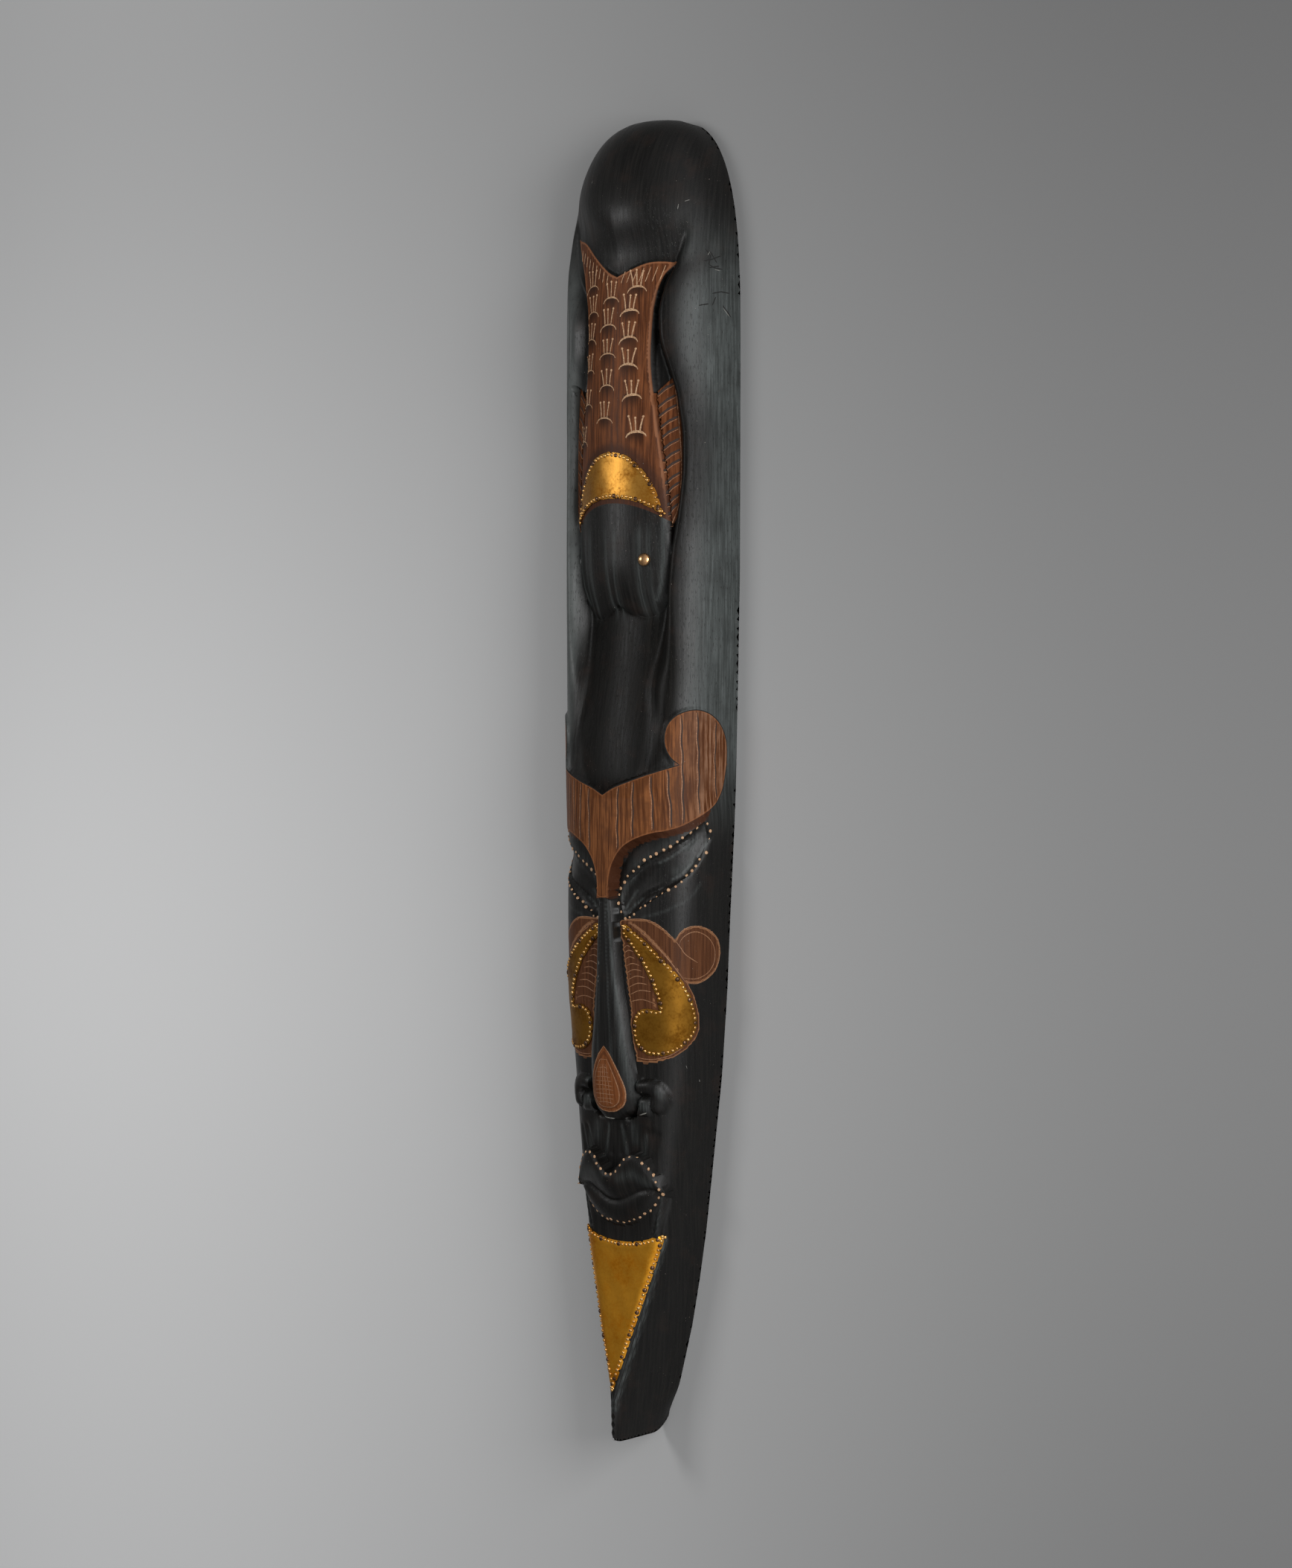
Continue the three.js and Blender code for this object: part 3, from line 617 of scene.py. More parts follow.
crown_d = n.read("d_crown")
crown_top = step(crown_d, 0.0)
crown_wall = step(n.read("d_brow"), 0.0)
tan = n.mix(n.ramp(crown_d, 1.0, 0.5, 0.0, 0.4), tan, (0.30, 0.115, 0.045, 1))
colour = n.mix(crown_wall, colour, n.mix(0.75, umber, (0.040, 0.013, 0.006, 1)))
colour = n.mix(crown_top, colour, tan)

# The drop on the nose, with a darker band inside its border, and the cheeks with a pale border.
drop_d, cheek_d = n.read("d_drop"), n.read("d_cheek")
tear = n.mix(n.ramp(streaks, 0.3, 0.7), (0.120, 0.037, 0.011, 1), (0.215, 0.074, 0.025, 1))
tear = n.mix(n.ramp(n.math("ABSOLUTE", n.math("SUBTRACT", drop_d, 2.4)), 1.3, 0.6, 0.0, 0.7), tear,
             (0.085, 0.028, 0.010, 1))
colour = n.mix(step(drop_d, 0.0), colour, tear)
colour = n.mix(step(cheek_d, 0.0), colour, umber)
line = n.math("MULTIPLY", n.ramp(cheek_d, -0.1, 0.15), n.ramp(cheek_d, 1.0, 0.7))
colour = n.mix(n.math("MULTIPLY", line, 0.7), colour, (0.30, 0.14, 0.065, 1))

# Small chips of pale wood, the sheen, which is less on the stains and in the channel, and the bump
# of the grain with a shallow line round the crown.
chip = n.math("MULTIPLY", n.ramp(n.noise(place, 0.9, 1.0), 0.745, 0.77),
              n.ramp(n.noise(place, 0.05, 1.0), 0.55, 0.62))
colour = n.mix(n.math("MULTIPLY", chip, 0.6), colour, (0.35, 0.30, 0.26, 1))
brown_zone = n.math("MAXIMUM", n.math("MAXIMUM", fish_zone, crown_wall),
                    n.math("MAXIMUM", step(drop_d, 0.0), step(cheek_d, 0.0)))
rough = n.math("ADD", n.ramp(streaks, 0.3, 0.7, 0.36, 0.50), n.math("MULTIPLY", brown_zone, 0.06))
n.put(shader, "Base Color", colour)
n.put(shader, "Roughness", rough)
sheen = n.math("SUBTRACT", 0.30, n.math("MULTIPLY", brown_zone, 0.19))
in_trough = n.ramp(n.read("trough"), 0.0, 1.0, 1.0, 0.45)
n.put(shader, "Specular IOR Level", n.math("MULTIPLY", sheen, in_trough))
height = n.math("ADD", n.math("MULTIPLY", streaks, 0.5), n.math("MULTIPLY", pores, -0.35))
height = n.math("ADD", height, n.math("MULTIPLY", coarse, 0.9))
rim_line = n.math("MULTIPLY", n.ramp(n.math("ABSOLUTE", crown_d), 0.8, 0.2), n.ramp(up_log, -20.0, -12.0))
height = n.math("SUBTRACT", height, n.math("MULTIPLY", rim_line, 0.9))
bump = n.add("ShaderNodeBump", Strength=0.4, Distance=0.0004, Height=height)
n.put(shader, "Normal", bump.outputs[0])


# The body: the carved front of the log, in one skin. It is triangulated so that the foot and the top
# of every carved wall are mesh edges, densely over the carving and openly over the plain sides.
def left(loop):
    return np.stack([-loop[::-1, 0], loop[::-1, 1]], -1)


RING_PITCH = 1.6
rings = []
for loop, out in ((fish, 0), (fish, 1.4), (nose, 0), (nose, 1.3), (nose, -0.7), (nose, -1.7),
                  (upper_lip, 0), (upper_lip, 1.0), (lower_lip, 0), (lower_lip, 1.0), (crown, 0)):
    rings.append(even(ring(loop, out), RING_PITCH))
for loop, out in ((fin, 0), (fin, 1.2), (leaf, 0), (leaf, -1.3)):
    made = even(ring(loop, out), RING_PITCH)
    rings += [made, left(made)]
edge_rows = np.concatenate([np.arange(-TOP, TOP - 4, 4.0), [TOP]])
border_right = [(girth_at(y) - 0.001, y) for y in edge_rows]
top_row = [(t * girth_at(TOP), TOP) for t in np.linspace(1, -1, 9)[1:-1]]
low_row = [(t * girth_at(-TOP), -TOP) for t in np.linspace(-1, 1, 41)[1:-1]]
border = np.array(border_right + top_row + [(-s, y) for s, y in reversed(border_right)] + low_row)

# Loose points: none where a wall or a rounded edge already has its rings.
dense = hexes((-100, -352), (100, 430), 1.75)
dense = dense[np.abs(dense[:, 0]) < girth_at(dense[:, 1]) - 2.5]
for loop, foot, top in ((fish, 1.4, 0.2), (nose, 1.3, 1.9), (upper_lip, 1.0, 0.2), (lower_lip, 1.0, 0.2),
                        (crown, 1.0, 0.2), (fin, 1.2, 0.2)):
    away_from = distance(loop, np.abs(dense[:, 0]) if loop is fin else dense[:, 0], dense[:, 1], 3)
    dense = dense[(away_from > top) | (away_from < -foot - 0.2)]
thin = hexes((-125, -498), (125, 498), 3.8)
thin = thin[(np.abs(thin[:, 0]) < girth_at(thin[:, 1]) - 2)
            & ((np.abs(thin[:, 0]) > 101) | (thin[:, 1] < -353) | (thin[:, 1] > 431))]
flat, faces = triangulate(border, rings, np.vstack([dense, thin]), 1.0)

points = skin(flat[:, 0], flat[:, 1])


# The back of the body: the split face is flat, with a smooth hollow dug out of it, which leaves a rim
# to lie on. The hollow is a guess at the carver's, by y, half width and depth. Walls close both ends.
HOLLOW = [(-436, 3, 6), (-428, 9, 18), (-405, 15, 26), (-360, 24, 32), (-290, 34, 36), (-190, 45, 38),
          (-60, 53, 38), (20, 56, 36), (90, 56, 33), (340, 57, 33), (400, 51, 31), (435, 38, 25),
          (452, 22, 15), (458, 6, 6)]
hollow_y = np.concatenate([np.arange(-436, 452, 8.0), [452, 455, 458]])
angle = np.linspace(-math.pi / 2, math.pi / 2, 29)
hollow = np.array([[(np.sign(a) * along(HOLLOW, y) * abs(math.sin(a)) ** (2 / 2.6), y,
                     (along(HOLLOW, y, 2) - RIM) * max(0, math.cos(a)) ** (2 / 2.6) + RIM)
                    for a in angle] for y in hollow_y])
hollow[:, [0, -1], 2] = 0
outer = np.array([(np.interp(y, rows_y, half_row), y + 10 * (1 - smooth(-TOP, -460, y)))
                  for y in edge_rows])
outer = np.vstack([outer, outer[::-1] * (-1, 1)])
inner = np.vstack([hollow[:, -1, :2], hollow[::-1, 0, :2]])
back_flat, back_faces = triangulate(outer, [inner], [], 1.0)
centre = [back_flat[list(f)].mean(0) for f in back_faces]
keep = distance(inner, np.array([c[0] for c in centre]), np.array([c[1] for c in centre]), 50) < 0
back_faces = [tuple(reversed(f)) for f, k in zip(back_faces, keep) if k]
verts = [points, np.column_stack([back_flat, np.zeros(len(back_flat))]), hollow.reshape(-1, 3)]
cuts = np.cumsum([0] + [len(v) for v in verts])
all_faces = list(faces) + [tuple(i + cuts[1] for i in f) for f in back_faces]
per_row = len(angle)
for r in range(len(hollow_y) - 1):
    for c in range(per_row - 1):
        a = cuts[2] + r * per_row + c
        all_faces.append((a, a + per_row, a + per_row + 1, a + 1))
for row in (0, len(hollow_y) - 1):
    ends = [cuts[2] + row * per_row + c for c in range(per_row)]
    all_faces.append(tuple(ends if row else reversed(ends)))
for y in (TOP, -TOP):
    ends = np.where(np.abs(flat[:, 1] - y) < 1e-6)[0]
    ends = ends[np.argsort(flat[ends, 0])]
    all_faces.append(tuple(reversed(ends)) if y < 0 else tuple(ends))
body = mesh_object("mask_skin", np.vstack(verts), all_faces, mask_paint, sharp=38)
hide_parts("mask_body")


# Outlines of the metal sheets, which the paint under them follows, and the places of the scales on
# the fish, in three columns.
band_half = spline([(0, 243.5), (14, 240.3), (24, 233), (32.5, 222), (37.5, 211), (42.4, 192.5)],
                   28) + spline([(42.4, 192.5), (31, 200), (17, 205.5), (0, 207.5)], 20)[1:]
band = on_girth(band_half + mirrored(band_half)[1:-1])
cheek_plate_xy = [(10.8, -110)] + spline(
    [(15, -110), (30, -119.5), (43, -131), (53, -143.5), (58.3, -157), (59.6, -173), (58.2, -192),
     (52.5, -203.5), (42, -208), (29.5, -206.3), (22, -199), (19.6, -188), (22.5, -177), (31, -172.2),
     (42.4, -173)], 70) + spline([(42.4, -173), (39.5, -160), (32, -143.5), (21, -129), (10.6, -118.5)],
                                 24)[1:]
cheek_plate = on_girth(cheek_plate_xy)
chin_plate = on_girth(spline([(-38.3, -341.2), (-20, -347), (0, -349.2), (20, -347), (38.3, -341.2)], 24)
                      + [(0.6, -462.5), (-0.6, -462.5)])
columns = (
    [(21, 365.6), (15.4, 348.4), (15, 328), (15.6, 307.6), (19, 284.4), (22.9, 256.6)],
    [(-2, 359.6), (-4.2, 339.2), (-4.1, 317.4), (-3.9, 293.6), (-5.6, 269)],
    [(-25, 371.4), (-23.5, 351.6), (-25.5, 331), (-27.5, 307.5), (-29.6, 281.8), (-36, 254.6)],
)


# What the paint reads from the mesh: its place on the skin, the distance to each stain's border, the
# painted shade at a scale's foot, and where grey wear, painted sheen and painted highlights are put on or
# left out.
brow = spline([(84.5, -27), (78.6, -33.5), (66.6, -40.2), (55.2, -44), (43.9, -46.3), (31.8, -49.4),
               (22.9, -53), (16.2, -58.8), (11.2, -65.8), (8.7, -73), (7.6, -82), (7.5, -91)], 50)
brow_zone = np.vstack([brow, [(0, -91), (0, -16), (90, -19)]])
drop_half = spline([(0, -201.5), (5.5, -208), (11, -218), (15, -229), (16, -238), (13.5, -245.5),
                    (7, -250), (0, -251)], 30)
drop = on_girth(drop_half + mirrored(drop_half)[1:-1])
cheek_in = on_girth([(9, -117), (11.2, -125), (12.5, -135), (15, -150), (17.5, -165), (19.3, -180),
                     (20.5, -195), (22.5, -212.5), (30, -213.4), (38, -212.4), (46, -209.4), (53, -204),
                     (50, -200), (30, -190), (30, -174), (40.5, -171), (38, -158), (31, -143), (20, -129)])
scroll_top = spline([(14, -107.3), (23.3, -106.2), (32.2, -106.4), (38.6, -108.1), (44.5, -111.2),
                     (50.2, -115.7), (56.2, -121.9)], 24)
scroll_ring = spline([(56.4, -121.6), (58.0, -118.5), (60.8, -114.8), (65.1, -112.3), (71.2, -111.2),
                      (78.0, -112.0), (84.3, -114.1), (90.4, -117.6), (94.7, -121.5), (97.0, -126.3),
                      (97.7, -131.0), (97.2, -135.6), (95.2, -141.1), (91.7, -145.6), (86.2, -149.4),
                      (79.7, -152.3), (73.6, -153.8), (68.0, -153.6), (63.4, -152.1)], 60)
plate_line = spline([(63.4, -152.1), (59.0, -146.4), (53.5, -139.0), (48.0, -132.4), (42.3, -126.3),
                     (36.2, -120.7), (30.0, -115.6), (23.3, -111.6), (16.2, -109.2)], 40)
cheek_out = np.array(scroll_top + scroll_ring + plate_line[1:])
s_all, y_all = flat[:, 0], flat[:, 1]
aside = np.abs(s_all)
pad = len(body.data.vertices) - len(flat)


# Puts values on the skin's vertices; those of the back get the empty value.
def carried(name, values, empty=-14.0):
    fill = np.full((pad,) + np.shape(values)[1:], empty)
    attribute(body, name, np.concatenate([values, fill]))


carried("d_fish", distance(fish, s_all, y_all, 8))
carried("d_fin", distance(fin, aside, y_all, 8))
carried("d_head", np.clip(204.2 - 12.5 * (s_all / 43) ** 2 - y_all, -8, 8))
to_crown = distance(crown, s_all, y_all, 8)
carried("d_crown", to_crown)
carried("d_brow", np.maximum(distance(brow_zone, aside, y_all, 8), to_crown))
carried("d_drop", distance(drop, s_all, y_all, 12))
sheet_d = distance(cheek_plate, aside, y_all, 8)
cheek_all = np.maximum(np.maximum(distance(cheek_in, aside, y_all, 8), sheet_d + 1.9),
                       distance(cheek_out, aside, y_all, 8))
carried("d_cheek", np.minimum(cheek_all, -1.7 - distance(nose, s_all, y_all, 8)))
carried("d_band", distance(band, s_all, y_all, 12))
scale_shade = np.zeros(len(s_all))
for column in columns:
    for cx, cy in column:
        reach_y = (cy - y_all) / 11
        reach_x = (s_all - cx) / (8 - 1.5 * np.clip(reach_y, 0, 1))
        inside = ((reach_y > -0.05) & (reach_y < 1.1)
                  & (reach_x ** 2 < 1 - 0.55 * (1 - np.clip(reach_y / 0.42, 0, 1))))
        scale_shade = np.maximum(scale_shade, inside * (1 - smooth(0.1, 1.1, reach_y)) * (1 - reach_x ** 4))
carried("scale_shade", scale_shade, 0.0)

# The banks beside the channel keep the grey wear and painted sheen; the channel and the forehead's foot lose
# it.
along_x = np.abs(points[:, 0])
outside = along_x - eased(CHANNEL_HALF, y_all)
bank = np.where(s_all > 0, smooth(4, 20, outside), smooth(-12, -3, outside))
bank = np.maximum(bank, 1 - smooth(-22, -8, y_all))
carried("bank", np.maximum(bank, smooth(372, 396, y_all)), 1.0)

# Painted highlights, brushed on in grey along the nose's edges, the eyes' creases, the lips and the chin:
# each line with how far it reaches to either side and how strong it is; then highlight stripes on the fish's
# head.
nose_t = along_x / along(NOSE, y_all, 2)
on_nose = smooth(0.1, 0.8, distance(nose, s_all, y_all, 3)) * smooth(-250, -215, y_all)
brushed = on_nose * (0.75 * np.exp(-((nose_t - 0.84) / 0.13) ** 2)
                     + 0.4 * np.exp(-((nose_t - 0.36) / 0.06) ** 2))
highlight_lines = (
    ([(53.4, -76.7), (60.2, -72.7), (67.9, -66.5), (74.6, -59.4), (80.1, -50.8), (82.6, -46.5)], 0.9, 1.0),
    ([(56.7, -71.2), (63.7, -68), (70.6, -61.8)], 3.4, 0.5),
    ([(14.4, -101.3), (20.8, -95.4), (27.9, -91)], 0.8, 0.9),
    ([(9.8, -90.9), (14.2, -81.3), (20.3, -75.6)], 2.0, 0.4),
    ([(13.1, -98.8), (15.4, -94), (22.2, -85.1)], 0.8, 0.7),
    ([(41.9, -64.4), (50.5, -60.8), (59.9, -55.1), (67.9, -50), (74.2, -44.9)], 0.8, 0.8),
    ([(63.4, -53.5), (69.1, -53.3), (74, -48)], 3.6, 0.5),
    ([(25, -66), (40, -56), (55, -48)], 3.5, 0.25),
    ([(75.3, -80), (70, -87), (63.4, -93.2), (57, -95.6), (49.2, -99.6), (41, -102.1),
      (30.2, -104.7)], 1.0, 0.35),
    (on_girth([(40.8, 200), (41.6, 180), (41.0, 160), (38.4, 143), (33.5, 131.5)]), 1.5, 0.8),
    (on_girth([(6.5, -262), (9, -276), (11, -285)]), 1.3, 0.5),
    (on_girth([(18, -262), (19.5, -272)]), 3.5, 0.35),
    (on_girth([(28.5, -268), (27, -281)]), 1.6, 0.35),
    (chin_strip, 1.7, 1.0),
    (on_girth([(38.6, -311), (36.3, -325), (32.3, -342)]), 0.9, 0.5),
    (on_girth([(9, -300), (22, -296), (33, -303)]), 4, 0.3),
    (on_girth([(22, -229), (24, -228.5)]), 1.6, 0.9),
    (on_girth([(41.5, -234), (43, -237)]), 2.2, 0.45),
    (on_girth([(24.5, -244), (30, -245.5)]), 3.6, 0.6),
)
for path, reach, strength in highlight_lines:
    brushed = np.maximum(brushed, strength * np.exp(-(away(path, aside, y_all, 14) / reach) ** 2))
for x0, half, strength in ((4, 1.6, 0.45), (24, 2.4, 0.5), (31, 1.8, 0.4), (38, 1.5, 0.25)):
    brushed = np.maximum(brushed, strength * np.exp(-((along_x - x0 - 0.02 * (y_all - 150)) / half) ** 2)
                         * smooth(112, 128, y_all) * smooth(192, 176, y_all))
carried("brushed", brushed, 0.0)
trough = np.where(s_all > 0, 1 - smooth(1, 16, outside), 1 - smooth(-16, -6, outside))
trough = trough * (y_all > -16) * (1 - smooth(372, 396, y_all))
carried("trough", trough * (distance(fish, s_all, y_all, 8) < 0), 0.0)
carried("place", np.column_stack([s_all, y_all, 0 * s_all]), 0.0)


# Strokes of paint and cuts of the knife: each is a thin ribbon laid on the skin, thicker in the middle
# of its run, with a hand's unevenness in its width.
def dab_material(name, tone, deep, rough):
    made, n, shader = material(name)
    geo = n.add("ShaderNodeNewGeometry")
    patch = n.noise(geo.outputs[0], 900.0, 3.0)
    n.put(shader, "Base Color", n.mix(n.ramp(patch, 0.35, 0.7), deep, tone))
    n.put(shader, "Roughness", rough)
    return made


def strokes(name, lines, widths, paint_material, rise=0.16, pitch=1.0, swell=6.0):
    flat_at, lifts, faces = [], [], []
    for line_points, w in zip(lines, widths):
        q = even(line_points, pitch, closed=False)
        way = np.gradient(q, axis=0)
        cross = np.stack([-way[:, 1], way[:, 0]], -1)
        cross /= np.linalg.norm(cross, axis=1, keepdims=True) + 1e-9
        ends = np.minimum(np.arange(len(q)), np.arange(len(q))[::-1])
        taper = w / 2 * np.clip(0.35 + swell * ends / len(q), 0, 1) * rng.uniform(0.88, 1.1, len(q))
        first, m = len(flat_at), len(q)
        for f in (-1, -0.5, 0.5, 1):
            flat_at += list(q + cross * (f * taper)[:, None])
            lifts += [rise if abs(f) < 1 else -0.1] * m
        for j in range(3):
            for k in range(m - 1):
                a = first + j * m + k
                faces.append((a, a + m, a + m + 1, a + 1))
    at = np.array(flat_at)
    verts = skin(at[:, 0], at[:, 1]) + normals(at[:, 0], at[:, 1]) * np.array(lifts)[:, None]
    mesh_object(name, verts, faces, paint_material)


# Fish scales, painted in cream: an arc with three stalks that end in dots, in three columns down the
# body, finer on the side that turns away. Short strokes follow the forked tail's edge.
line_paint = dab_material("cream lines", (0.56, 0.37, 0.21, 1), (0.33, 0.17, 0.085, 1), 0.55)
arcs, arc_widths, stalks, stalk_widths, tips = [], [], [], [], []
for rank, column in enumerate(columns):
    for cx, cy in column:
        r, tall = rng.uniform(7.6, 8.6), rng.uniform(4.4, 5.6)
        lean = rng.uniform(-0.10, 0.10)
        fan = [(cx + r * math.sin(t), cy - tall + tall * math.cos(t) + lean * r * math.sin(t))
               for t in np.linspace(-1.5, 1.5, 15)]
        arcs.append(np.array(fan))
        arc_widths.append((2.3, 1.5, 1.1)[rank] * rng.uniform(0.85, 1.15))
        for side in (-1, 0, 1):
            foot = (cx + 3.1 * side, cy - 0.25 * abs(side))
            high = (foot[0] + 2.1 * side + rng.uniform(-0.7, 0.7), foot[1] + rng.uniform(10.2, 12.4))
            mid = (foot[0] * 0.62 + high[0] * 0.38, (foot[1] + high[1]) / 2)
            stalks.append(np.array(spline([foot, mid, high], 6)))
            stalk_widths.append((1.35, 1.1, 0.85)[rank] * rng.uniform(0.85, 1.1))
            tips.append(high)
tail_strokes = [[(x + 0.5, 377.6 + 0.4 * k), (x - 2.8 - 0.2 * k, 377.6 - 8.5 - 0.2 * k)]
                for k, x in enumerate(np.arange(10, 42, 5.2))]
tail_strokes += [[(x, 375.0 + 0.75 * abs(x + 3) * 0.92), (x - 1.5, 367 + 0.75 * abs(x + 3) * 0.92)]
                 for x in np.arange(-6, -46, -4.6)]
stalks += [on_girth(line_points) for line_points in tail_strokes]
stalk_widths += [0.7] * len(tail_strokes)
strokes("scale_arcs", arcs, arc_widths, line_paint, swell=1.7)
strokes("scale_stalks", stalks, stalk_widths, line_paint)

# The cheeks' lines, drawn with a fine brush in light brown: arcs between nose and plate, the two lines
# of the scroll, and the line round the plate.
thin_paint = dab_material("light brown lines", (0.36, 0.18, 0.085, 1), (0.20, 0.085, 0.038, 1), 0.5)
cheek_lines, cheek_widths = [], []
hatch = [((12.2, -128.4), (18.4, -127.2)), ((12.4, -132.2), (21.2, -130.6)),
         ((12.9, -137), (22.6, -135.6)), ((14.0, -141.8), (27.0, -140.7)),
         ((14.6, -146.8), (29.0, -144.8)), ((15.8, -151.9), (32.0, -149.6)),
         ((16.8, -157.4), (34.3, -154.6)), ((17.4, -163), (37, -159.8)), ((18.2, -168), (40, -168.5))]
scroll_line = spline([(56.4, -122.1), (60.2, -127.2), (63.1, -131.4), (67.0, -134.3), (70.2, -136.2),
                      (74.1, -138.4)], 14)
inner_ring = spline([(59.1, -124.9), (59.8, -122.1), (62.2, -119.0), (66.1, -116.6), (71.2, -115.3),
                     (76.9, -116.3), (83.1, -119.2), (87.8, -123.1), (90.9, -127.4), (92.1, -132.0),
                     (91.8, -137.2), (89.5, -141.7), (84.8, -146.1), (78.4, -149.0), (72.4, -150.3),
                     (67.0, -150.1), (61.5, -149.0)], 50)
low_line = on_girth(spline([(22.6, -209.4), (30, -210.3), (39, -209.8), (48, -206.8), (54, -201.6)], 16))
for sign in (1, -1):
    for (x0, y0), (x1, y1) in hatch:
        bow = 1.2 + 0.05 * (x1 - x0)
        mid = ((x0 + x1) / 2, (y0 + y1) / 2 + bow)
        cheek_lines.append(np.array([(sign * x, y) for x, y in spline([(x0, y0), mid, (x1, y1)], 8)]))
        cheek_widths.append(0.8)
    for curve, w in ((scroll_line, 0.8), (inner_ring, 0.8), (low_line, 0.7),
                     (plate_line, 0.9), (scroll_top, 0.8), (scroll_ring, 0.9)):
        cheek_lines.append(np.array([(sign * x, y) for x, y in curve]))
        cheek_widths.append(w)
strokes("cheek_lines", cheek_lines, cheek_widths, thin_paint, rise=0.12)

# The drop on the nose: one line round its border, one inside it, and a net scratched over the stain.
net, net_w = [np.vstack([drop, drop[:1]])], [1.1]
inner_drop = ring(even(drop, 1.0), -3.6) + (-0.6, -0.4)
inner_drop = inner_drop[inner_drop[:, 1] < -211]
net.append(np.vstack([inner_drop, inner_drop[:1]]))
net_w.append(0.8)
for y0 in np.arange(-244.5, -216, 3.3):
    half = float(np.interp(y0, [-245, -238, -228, -214], [8, 10.5, 9.5, 3.5]))
    net.append(np.array(spline([(-half - 0.5, y0 + rng.uniform(-0.4, 0.4)), (0, y0 + rng.uniform(0.2, 0.9)),
                                (half - 2.5, y0 + rng.uniform(-0.4, 0.4))], 6)))
    net_w.append(0.55)
for x0 in (-6.5, -3.2, 0.2, 3.6):
    net.append(np.array(spline([(x0, -246 + abs(x0) * 0.3), (x0 * 0.85 + 0.4, -230),
                                (x0 * 0.45, -215)], 6)))
    net_w.append(0.5)
strokes("nose_drop_lines", net, net_w, thin_paint, rise=0.10, swell=10.0)

# Lines scored into the wood, now black, with painted shade in the eyes' creases and the chin strip's
# grooves:
# along the crown's upper edge, the creases of the eyes and both sides of the strip beside the chin plate.
# The last few are cracks in the log's right side.
upper = np.array(crown_s[:86])
scored = [upper, upper * (-1, 1)]
scored_w = [1.0, 1.0]
strip = np.array(chin_strip)
for sign in (1, -1):
    for curve, w in ((crease_top, 1.5), (crease_two, 0.9), (crease_low, 1.5), (strip - (1.4, 0), 0.9),
                     (strip + (1.7, 0), 0.9)):
        scored.append(np.array(curve) * (sign, 1))
        scored_w.append(w)
cracks = [[(80.9, 390.7), (85.4, 385.9), (84.1, 379.4), (88.5, 377.2), (96.2, 376.8)],
          [(79.9, 381.6), (86.9, 383.5), (94.4, 386.9)], [(84.2, 376.8), (93, 379)],
          [(85, 389), (91, 381)], [(87.4, 357.9), (94.9, 359.9), (103.2, 359.7)],
          [(90.3, 355.6), (87.5, 349)], [(96.6, 349.9), (105.1, 342)], [(76.4, 348.2), (84.6, 350)]]
for line_points in cracks:
    scored.append(np.array(line_points, float))
    scored_w.append(1.3)
black_cut_and_shade = dab_material("black cuts and crease shade", (0.006, 0.005, 0.004, 1), (0.003, 0.003, 0.002, 1), 0.8)
strokes("scored_lines", scored, scored_w, black_cut_and_shade, rise=0.05, swell=9.0)

# Painted highlights along the lower edges of the nose's tip and of the nostril's lobe, in the bare wood's
# colour, and small scratches of bare wood where the black paint is worn off.
tip_highlight = on_girth([(-19, -251.5), (-14, -254.4), (-7, -255.8), (0, -256.2), (4, -256.1)])
lobe_highlight = on_girth([(22.9, -253.2), (27.5, -251.6), (31.5, -250.2)])
scratches = [[(62, 426), (66, 427.5)], [(57, 420), (57.6, 424)], [(-24, 449), (-23, 450.5)],
             [(83, 386), (84.5, 389)], [(89, 376), (94, 375.6)], [(97, 348), (103, 342.5)],
             [(-4.9, -138), (-4.6, -141)], [(-5.3, -149), (-5.1, -150.5)],
             [(-5.6, -152.5), (-5.4, -154)], [(62, -215), (62.6, -217)], [(74, -226), (74.4, -228)]]
chip_and_highlight_lines = [tip_highlight, lobe_highlight] + [np.array(c, float) for c in scratches]
worn_and_highlight_paint = dab_material("bare chips and edge highlights", (0.30, 0.29, 0.26, 1), (0.14, 0.135, 0.12, 1), 0.6)
strokes("worn_chips_and_highlights", chip_and_highlight_lines, [1.0, 0.9] + [0.6] * len(scratches), worn_and_highlight_paint, rise=0.05)

# The fins' rays: slanting cuts from the body outwards, which are not carved: each is a dark ribbon of
# painted shade.
fin_cuts = []
for sign in (1, -1):
    for k in range(12):
        y0 = 283.5 - 8.2 * k + rng.uniform(-0.8, 0.8)
        x0 = float(np.interp(y0, [190, 250, 290], [44.2, 39, 36.2]))
        x1 = float(np.interp(y0 + 7, [185, 203, 235, 270, 298], [46, 50.4, 51.6, 49.6, 46.5]))
        fin_cuts.append(on_girth([(sign * x0, y0), (sign * (x0 + x1) / 2, y0 + 5.2),
                                  (sign * x1, y0 + 8.6)]))
cut_shade_paint = dab_material("dark cuts with painted shade", (0.030, 0.013, 0.007, 1), (0.018, 0.008, 0.005, 1), 0.7)
strokes("fin_cuts", fin_cuts, [2.2] * len(fin_cuts), cut_shade_paint, rise=0.07)

